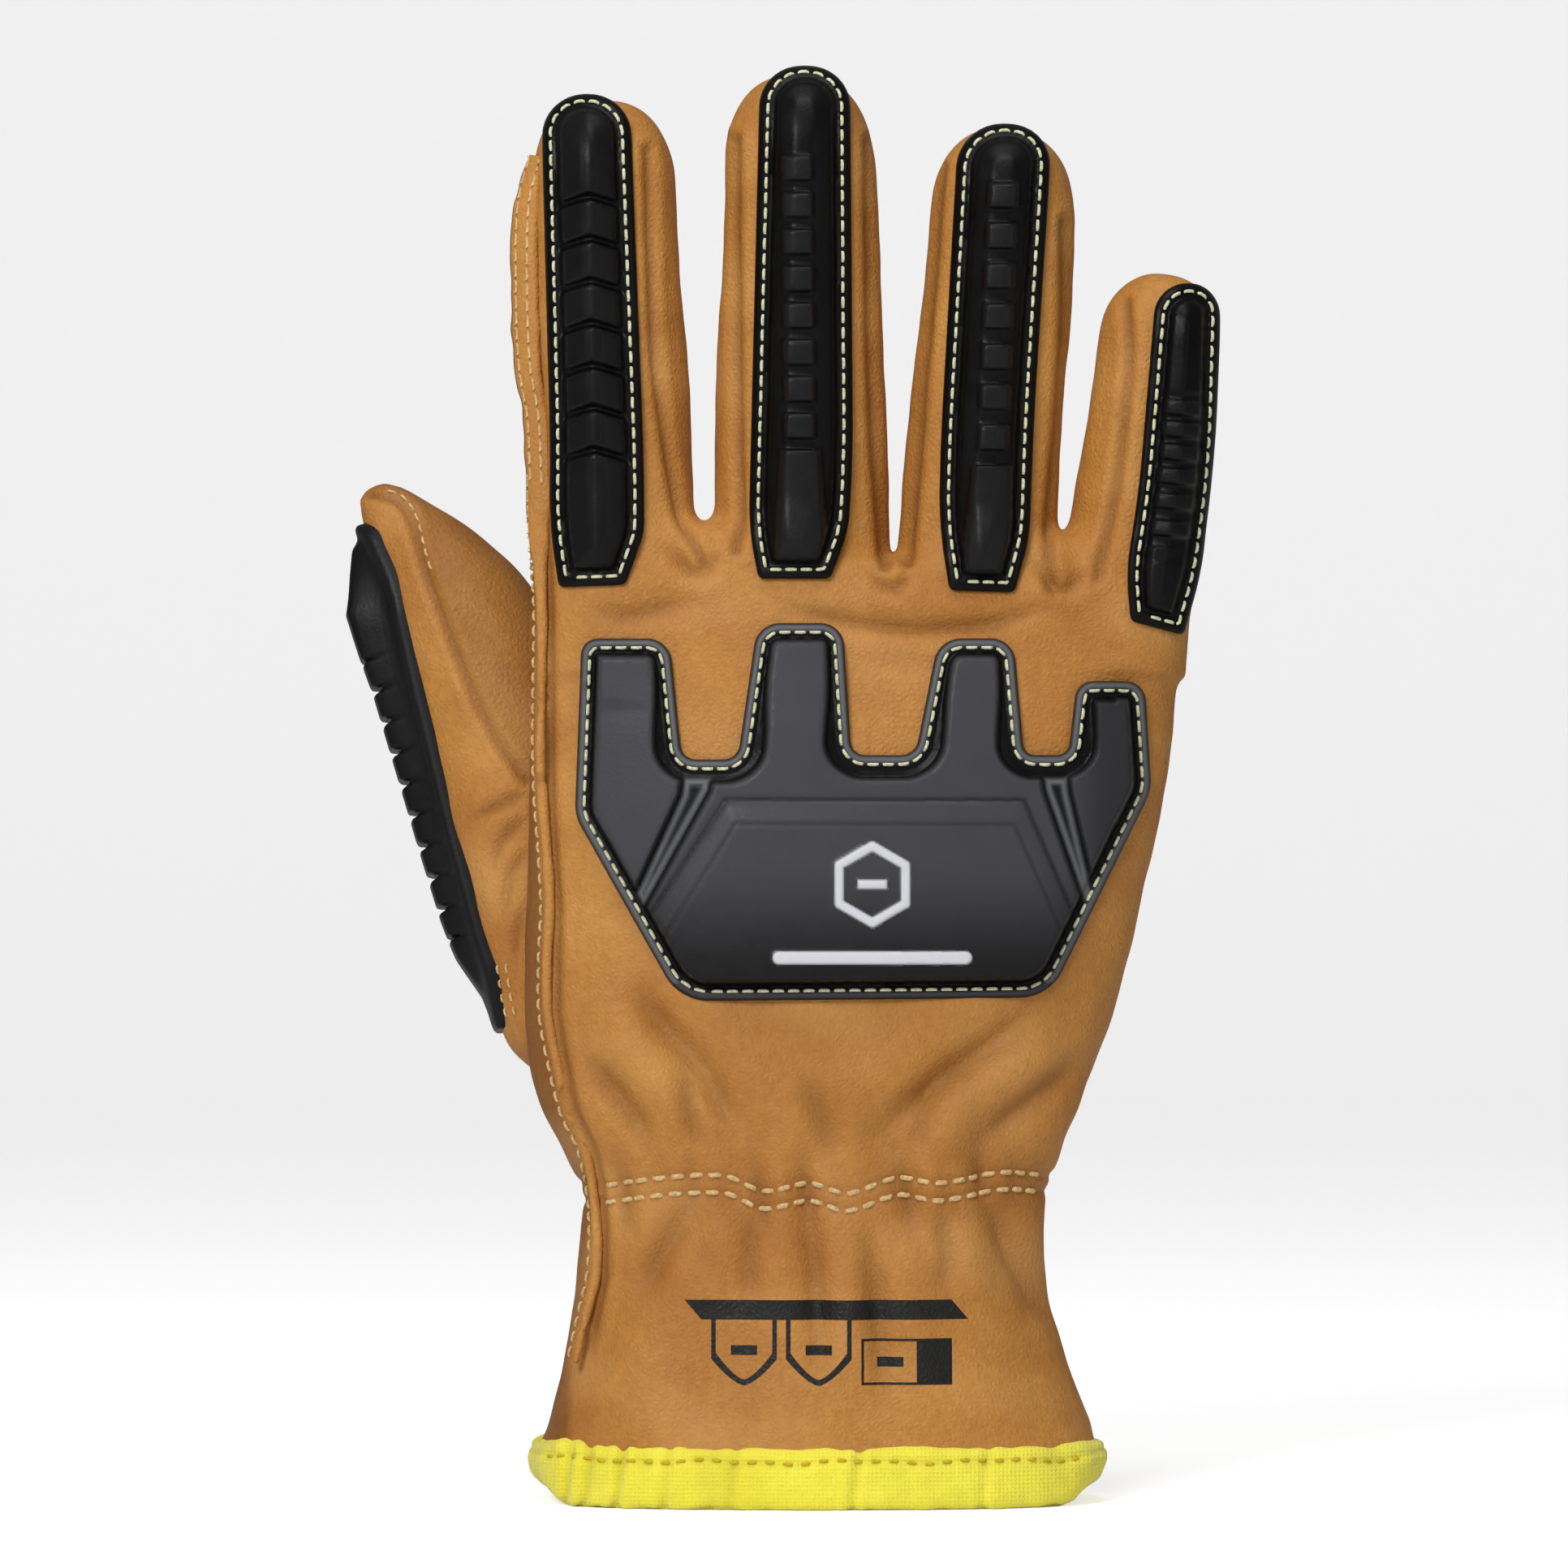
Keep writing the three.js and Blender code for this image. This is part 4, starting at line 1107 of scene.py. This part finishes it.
def knuckle_relief(x, z, depth):
    """Height of the knuckle guard; how grey it is painted, as painted reflection lighter at the top
    and a painted highlight on its rim; and its emblem with painted gloss along the rim and in the
    channels.
    """
    valleys = (x > -38) * (x < 55) * bell(z - 138, 9)
    wall = FLANGE_WIDTH + 1.5 * valleys
    body = smoothstep(wall - 0.6, wall + 0.6, depth)
    bead = bell(depth - 0.9, 0.55)
    height = FLANGE + KNUCKLE_RISE * body + 0.35 * bead - 0.3 * bell(depth - 2.7, 0.5)
    sunk = np.zeros(np.shape(body))
    # Painted gloss: bright streaks along the rim bead and inside the channels, given the emblem's
    # pale colour.
    gloss = 0.13 * bead * (z > 96)
    for outline in CHANNELS:
        within = -signed_polygon(outline, x, z)
        sunk = np.maximum(sunk, smoothstep(-0.5, 0.5, within))
        gloss = np.maximum(gloss, 0.2 * bell(within - 1.3, 0.5) * (z > 110))
    outer, inner = signed_polygon(BEVEL, x, z), signed_polygon(PANEL, x, z)
    slope = np.clip(-outer / np.maximum(inner - outer, 0.1), 0, 1)
    lines = bell(outer, 0.45) + 0.6 * bell(inner, 0.4)
    emblem_and_painted_gloss = emblem(x, z)
    panel = (1 - sunk) * (BEVEL_RISE * slope - 0.4 * lines)
    height = height - body * (CHANNEL_DEPTH * sunk - panel) + 0.45 * emblem_and_painted_gloss
    # Painted reflection: the raised parts are lighter at the top and darker towards the bottom, on
    # the right prong, in the channels and along the bevel lines.
    shade = 0.85 - 0.72 * smoothstep(120, 97, z)
    shade = shade * (1 - 0.55 * smoothstep(44, 54, x)) * (1 - sunk)
    shade = shade * (1 - 0.6 * np.minimum(lines, 1))
    # The rim bead gets a painted highlight.
    return height, np.maximum(body * shade, 0.8 * bead * (z < 170)), np.maximum(emblem_and_painted_gloss, gloss)


# Height of the thumb guard along it, over the leather.
THUMB_GUARD_HEIGHT = (
    (3, 1.5), (10, 1.7), (18, 3.9), (26, 4.7), (48, 5.5), (70, 6.4), (78, 7.4), (86, 8.2),
    (93, 5.4), (100, 2.4), (104, 1.7),
)
# The lugs run between these two distances, with a notch this deep between each two.
LUGS = (21.5, 76.5)
LUG_PITCH = 6.13
LUG_NOTCH = 1.7


def thumb_guard_relief(w, s, depth):
    """Height of the thumb guard: a row of rounded lugs below a smooth top."""
    body = smoothstep(FLANGE_WIDTH - 1.3, FLANGE_WIDTH + 1.3, depth)
    tooth = (np.mod(s - LUGS[0], LUG_PITCH) / LUG_PITCH - 0.5) * 2
    notch = smoothstep(0.7, 0.94, np.abs(tooth)) * (s > LUGS[0]) * (s < LUGS[1])
    full = np.interp(s, *np.array(THUMB_GUARD_HEIGHT).T)
    height = FLANGE + body * (full - FLANGE - LUG_NOTCH * notch)
    # The flange and the lugs' faces are painted a little greyer than the notches.
    return height, 0.12 * (1 - body) + 0.04 * body * (1 - notch), 0 * body


def glove_skin(x, y, z):
    return hand_and_fingers(x, y, z)[0]


def build_guard(name, board, low, high, skin, relief_of, regions, keep=None, behind=None):
    """Meshes a moulded guard: the space over a skin, up to a height, inside its outline."""
    outline = GUARD_OUTLINES[name]
    cells = Grid((outline[:, 0].min() - 1, low, outline[:, 1].min() - 1),
                 (outline[:, 0].max() + 1, high, outline[:, 1].max() + 2), GUARD_VOXEL)
    depth = -signed_polygon(outline, cells.x, cells.z)
    surface = skin(*board.place(cells.x, cells.y, cells.z))
    field = smooth_max(surface - relief_of(cells.x, cells.z, depth)[0], -depth,
                       GUARD_EDGE_BLEND)
    field = np.maximum(field, -GUARD_SUNK - surface)
    if behind is not None:
        field = smooth_max(field, cells.y - behind, 0.6)
    drawn, faces = cells.mesh(field)
    drawn = relax(drawn, faces, 1, 0.4)
    depth = -signed_polygon(outline, drawn[:, 0], drawn[:, 2])
    _, grey_and_painted_sheen, emblem_and_painted_gloss = relief_of(drawn[:, 0], drawn[:, 2], depth)
    verts = board.points(drawn)
    pieces = add_pieces(f"{name}_guard", verts, faces, rubber, "guard_rubber", regions,
                        {"grey_and_painted_sheen": np.clip(grey_and_painted_sheen, 0, 1), "emblem_and_painted_gloss": emblem_and_painted_gloss}, keep)
    return pieces, tree_of(verts, faces)


guard_trees = {}
for name in FINGERS:
    def relief_of(x, z, depth, name=name):
        return finger_guard_relief(name, x, z, depth)

    pieces, guard_trees[name] = build_guard(name, BACK, -21, 0, glove_skin, relief_of,
                                            hand_regions, behind=-1.0)
    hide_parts(f"{name}_guard_base")
    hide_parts(f"{name}_guard_middle")
    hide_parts(f"{name}_guard_tip")

pieces, guard_trees["knuckle"] = build_guard("knuckle", BACK, -28.5, -3, glove_skin,
                                             knuckle_relief, None, "knuckles", behind=-3.5)
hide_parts("knuckle_guard")

pieces, guard_trees["thumb"] = build_guard("thumb", THUMB_SIDE, -27, -4, thumb,
                                           thumb_guard_relief, thumb_regions)
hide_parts("thumb_guard_base")
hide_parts("thumb_guard_tip")

# ---- piped seam and thread ----


def joined(parts):
    """Several meshes as one."""
    verts, faces, base = [], [], 0
    for some_verts, some_faces in parts:
        verts.append(some_verts)
        faces.append(some_faces + base)
        base += len(some_verts)
    return np.concatenate(verts), np.concatenate(faces)


def lay(board, trees, path, lift=0.0):
    """A drawn path laid on the first surface that it meets, with the normals there."""
    laid, normals = [], []
    inward = Vector(board.axes[1])
    for a, c in path[:, :2]:
        start = Vector(board.origin + a * board.axes[0] + c * board.axes[2]) - inward * 80
        hits = [tree.ray_cast(start, inward, 130) for tree in trees]
        hits = [hit for hit in hits if hit[0] is not None]
        if hits:
            point, normal, _, _ = min(hits, key=lambda hit: hit[3])
            laid.append(np.array(point + normal * lift))
            normals.append(np.array(normal))
    return np.array(laid), np.array(normals)


def along_path(points, values, at):
    travel = np.concatenate([[0], np.cumsum(np.linalg.norm(np.diff(points, axis=0), axis=1))])
    return np.stack([np.interp(at, travel, values[:, k]) for k in range(values.shape[1])], -1)


def path_length(points):
    return np.linalg.norm(np.diff(points, axis=0), axis=1).sum()


def normalised(vectors):
    return vectors / np.maximum(np.linalg.norm(vectors, axis=-1, keepdims=True), 1e-9)


def swept(centres, sides, ups, half_widths, half_heights):
    """Closed tubes along rows of centres: arrays of tubes by rings by 3, or by rings."""
    turns = np.arange(8) * math.pi / 4
    ring = (sides[..., None, :] * (half_widths[..., None] * np.cos(turns))[..., None]
            + ups[..., None, :] * (half_heights[..., None] * np.sin(turns))[..., None])
    verts = (centres[..., None, :] + ring).reshape(-1, 3)
    tubes, rings = centres.shape[:2]
    k = np.arange(8)
    band = np.stack([k, (k + 1) % 8, (k + 1) % 8 + 8, k + 8], 1)
    cap = np.array([(0, 3, 2, 1), (0, 5, 4, 3), (0, 7, 6, 5)])
    one = [band + 8 * i for i in range(rings - 1)]
    one += [cap, cap[:, ::-1] + 8 * (rings - 1)]
    one = np.concatenate(one)
    return verts, np.concatenate([one + 8 * rings * tube for tube in range(tubes)])


def stitches(points, normals, length=2.3, gap=0.6, radius=0.36):
    """Thread stitches along a path: each rises out of the surface and dives back in."""
    count = int(path_length(points) // (length + gap))
    shares = np.array([0, 0.1, 0.3, 0.7, 0.9, 1])
    lifts = np.array([-0.3, 0.05, 0.22, 0.22, 0.05, -0.3])
    girths = np.array([0.5, 0.85, 1, 1, 0.85, 0.5]) * radius
    at = (np.arange(count) * (length + gap) + 0.5 * gap)[:, None] + shares * length
    ups = normalised(along_path(points, normals, at))
    ahead = along_path(points, points, at + 0.4) - along_path(points, points, at - 0.4)
    centres = along_path(points, points, at) + ups * lifts[:, None]
    girths = np.broadcast_to(girths, at.shape)
    return swept(centres, normalised(np.cross(ahead, ups)), ups, girths * 1.1, girths)


def offset_path(path, distance):
    """An open drawn path moved sideways, to the right of its direction when positive."""
    tangent = normalised(np.gradient(path[:, :2], axis=0))
    return path[:, :2] + np.stack([tangent[:, 1], -tangent[:, 0]], 1) * distance


def sewn(name, board, trees, lines, thread, regions, keep=None, **sizes):
    """One set of stitches, along drawn lines laid on the given surfaces."""
    runs = [stitches(*lay(board, trees, line), **sizes) for line in lines]
    return add_pieces(name, *joined(runs), thread, "thread", regions, keep=keep)


# Where the piping sits through the glove: height, and how far in front of its middle.
PIPING_DEPTH = np.array([
    (20, -17), (54, -10), (60, -10), (90, -11), (130, -11), (165, -8.5), (182, -5.5), (250, -4.5),
])
PIPING_STAND = 0.55
FINGER_FLANGE = 0.9


def edge_piping(edge):
    """The piping: a flat tube that stands on the leather's edge and leans to the thumb side."""
    points, normals = [], []
    for (x, z, _), y in zip(edge, np.interp(edge[:, 1], *PIPING_DEPTH.T)):
        point, normal, _, _ = leather_tree.find_nearest(Vector((x, y, z)))
        points.append(np.array(point))
        normals.append(np.array(normal))
    points, normals = np.array(points), np.array(normals)
    ups = normalised(0.55 * normals + np.array((0, -0.75, 0)))
    sides = normalised(np.cross(normalised(np.gradient(points, axis=0)), ups))
    centres = np.stack([edge[:, 0], points[:, 1], edge[:, 1]], 1) + ups * PIPING_STAND
    centres += ups * 0.25 * ripple(centres, 15, 41)[:, None]
    on_finger = smoothstep(168, 186, edge[:, 1])
    centres[:, 0] += FINGER_FLANGE * on_finger
    widths = edge[:, 2] / 2 * (1 + 0.08 * ripple(centres, 7, 42)) + FINGER_FLANGE * on_finger
    girth = np.minimum(1.0, widths)
    return swept(centres[None], sides[None], ups[None], widths[None], girth[None])


edge = spline(EDGE_SEAM, 1.0)
verts, faces = edge_piping(edge)
edge_tree = tree_of(verts, faces)
plain = np.zeros(len(verts))
add_pieces("edge_piping", verts, faces, leather, "leather", hand_regions,
           {"painted_shade": plain, "wear": plain + 0.25})

# Two rows on the index finger run into one on the hand.
double = edge[edge[:, 1] > 186]
single = edge[edge[:, 1] < 190]
skins = [leather_tree, edge_tree]
lines = [offset_path(double, 1.05), offset_path(double, -1.05), offset_path(single, 1.6)]
sewn("edge_thread", BACK, skins, lines, leather_thread, hand_regions, radius=0.3)

wrist_row = np.array(spline(WRIST_ROW, 0.8))
lines = [wrist_row, wrist_row - (0, ROW_GAP)]
sewn("wrist_thread", BACK, skins, lines, leather_thread, None, keep="wrist", length=2.6,
     gap=0.9, radius=0.46)

GUARD_STITCHES = {"gap": 0.5, "radius": 0.29}
for name in FINGERS:
    line = inset(GUARD_OUTLINES[name], STITCH_INSET)
    sewn(f"{name}_guard_thread", BACK, [guard_trees[name]], [line], guard_thread,
         hand_regions, **GUARD_STITCHES)
line = inset(GUARD_OUTLINES["knuckle"], STITCH_INSET)
pieces = sewn("knuckle_thread", BACK, [guard_trees["knuckle"]], [line], guard_thread, None,
              keep="knuckles", **GUARD_STITCHES)
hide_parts("knuckle_guard_thread")

row_x = np.arange(-49.5, 50.5, 0.8)
line = np.stack([row_x, hem_row(row_x)], 1)
sewn("hem_thread", BACK, [hem_tree], [line], hem_thread, None, keep="wrist", length=2.0,
     gap=1.3, radius=0.28)

# The thumb seam's thread shows near the tip only, and two short rows at the thumb's root.
seam = spline(THUMB_SEAM[1:], 0.8)
lines = [offset_path(seam[:26], -1.1)]
root = spline(((-57.2, 99.5), (-56.0, 92), (-54.6, 87)), 0.8)
lines += [root, offset_path(root, 1.7)]
sewn("thumb_seam_thread", BACK, [thumb_tree, leather_tree], lines, leather_thread,
     thumb_regions, length=1.9, gap=0.8, radius=0.23)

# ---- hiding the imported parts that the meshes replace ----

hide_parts("cuff_back_panel", "cuff_palm_panel")
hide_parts("hand_back_panel", "palm_panel", "knuckle_back_panel",
            "knuckle_palm_panel", "index_middle_fourchette", "middle_ring_fourchette",
            "ring_little_fourchette")
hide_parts("cuff_lining")
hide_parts("hand_lining", "knuckle_lining")
for name in FINGERS:
    for region, part in ((f"{name}_lower", "middle"), (f"{name}_upper", "tip")):
        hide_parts(f"{name}_back_{part}", f"{name}_front_{part}")
        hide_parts(f"{name}_lining_{part}")
for region, part in (("thumb_lower", "base"), ("thumb_upper", "tip")):
    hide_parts(f"thumb_back_{part}", f"thumb_front_{part}")
    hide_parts(f"thumb_lining_{part}")

# ---- stage, light and camera ----


FLOOR_REACH = 6.0
WALL_FOOT = 2.4
WALL_CURVE = 0.8
WALL_TOP = 5.0
# How much the paper glows, for the camera only.
PAPER_GLOW = 0.62


def cyclorama():
    """A pale floor that curves up into a backdrop, in metres."""
    profile = [(-FLOOR_REACH, 0.0), (WALL_FOOT, 0.0)]
    for turn in np.linspace(0, math.pi / 2, 13)[1:]:
        profile.append((WALL_FOOT + WALL_CURVE * math.sin(turn),
                        WALL_CURVE * (1 - math.cos(turn))))
    profile.append((WALL_FOOT + WALL_CURVE, WALL_TOP))
    verts = [(x, y, z) for y, z in profile for x in (-FLOOR_REACH, FLOOR_REACH)]
    faces = [(2 * i, 2 * i + 1, 2 * i + 3, 2 * i + 2) for i in range(len(profile) - 1)]
    mesh = bpy.data.meshes.new("cyclorama")
    mesh.from_pydata(verts, [], faces)
    mesh.polygons.foreach_set("use_smooth", [True] * len(mesh.polygons))
    floor = bpy.data.objects.new("cyclorama", mesh)
    bpy.context.scene.collection.objects.link(floor)
    paper = Shader("paper")
    seen = paper.tree.nodes.new("ShaderNodeLightPath").outputs["Is Camera Ray"]
    glow = paper.math("MULTIPLY", seen, PAPER_GLOW)
    white = srgb(246, 246, 246)
    mesh.materials.append(paper.finish(white, 0.9, Emission_Color=(1.0, 1.0, 1.0),
                                       Emission_Strength=glow))


def area_light(name, place, aim, size, power):
    data = bpy.data.lights.new(name, "AREA")
    data.size, data.energy = size, power
    light = bpy.data.objects.new(name, data)
    light.location = place
    light.rotation_euler = (Vector(aim) - Vector(place)).to_track_quat("-Z", "Y").to_euler()
    bpy.context.scene.collection.objects.link(light)


cyclorama()
area_light("key", (-0.5, -1.2, 0.85), (0, 0, 0.14), 0.5, 12)
area_light("fill", (0.9, -1.0, 0.3), (0, 0, 0.13), 0.8, 1.3)
area_light("top", (0.0, -0.35, 1.25), (0, 0, 0.12), 0.5, 4.4)
world = bpy.data.worlds.new("studio")
bpy.context.scene.world = world
world.use_nodes = True
world.node_tree.nodes["Background"].inputs["Color"].default_value = (1, 1, 1, 1)
world.node_tree.nodes["Background"].inputs["Strength"].default_value = 0.18
bpy.context.scene.view_settings.view_transform = "Standard"

VIEW_CENTRE = to_frame((-5.7, 0, 132.3))
VIEW_WIDTH = 0.2898
camera_data = bpy.data.cameras.new("camera")
camera_data.lens, camera_data.sensor_width = 240, 36
camera = bpy.data.objects.new("camera", camera_data)
distance = VIEW_WIDTH * camera_data.lens / camera_data.sensor_width
camera.location = Vector(VIEW_CENTRE) + Vector((0, -distance, 0))
camera.rotation_euler = (math.pi / 2, 0, 0)
bpy.context.scene.collection.objects.link(camera)
bpy.context.scene.camera = camera
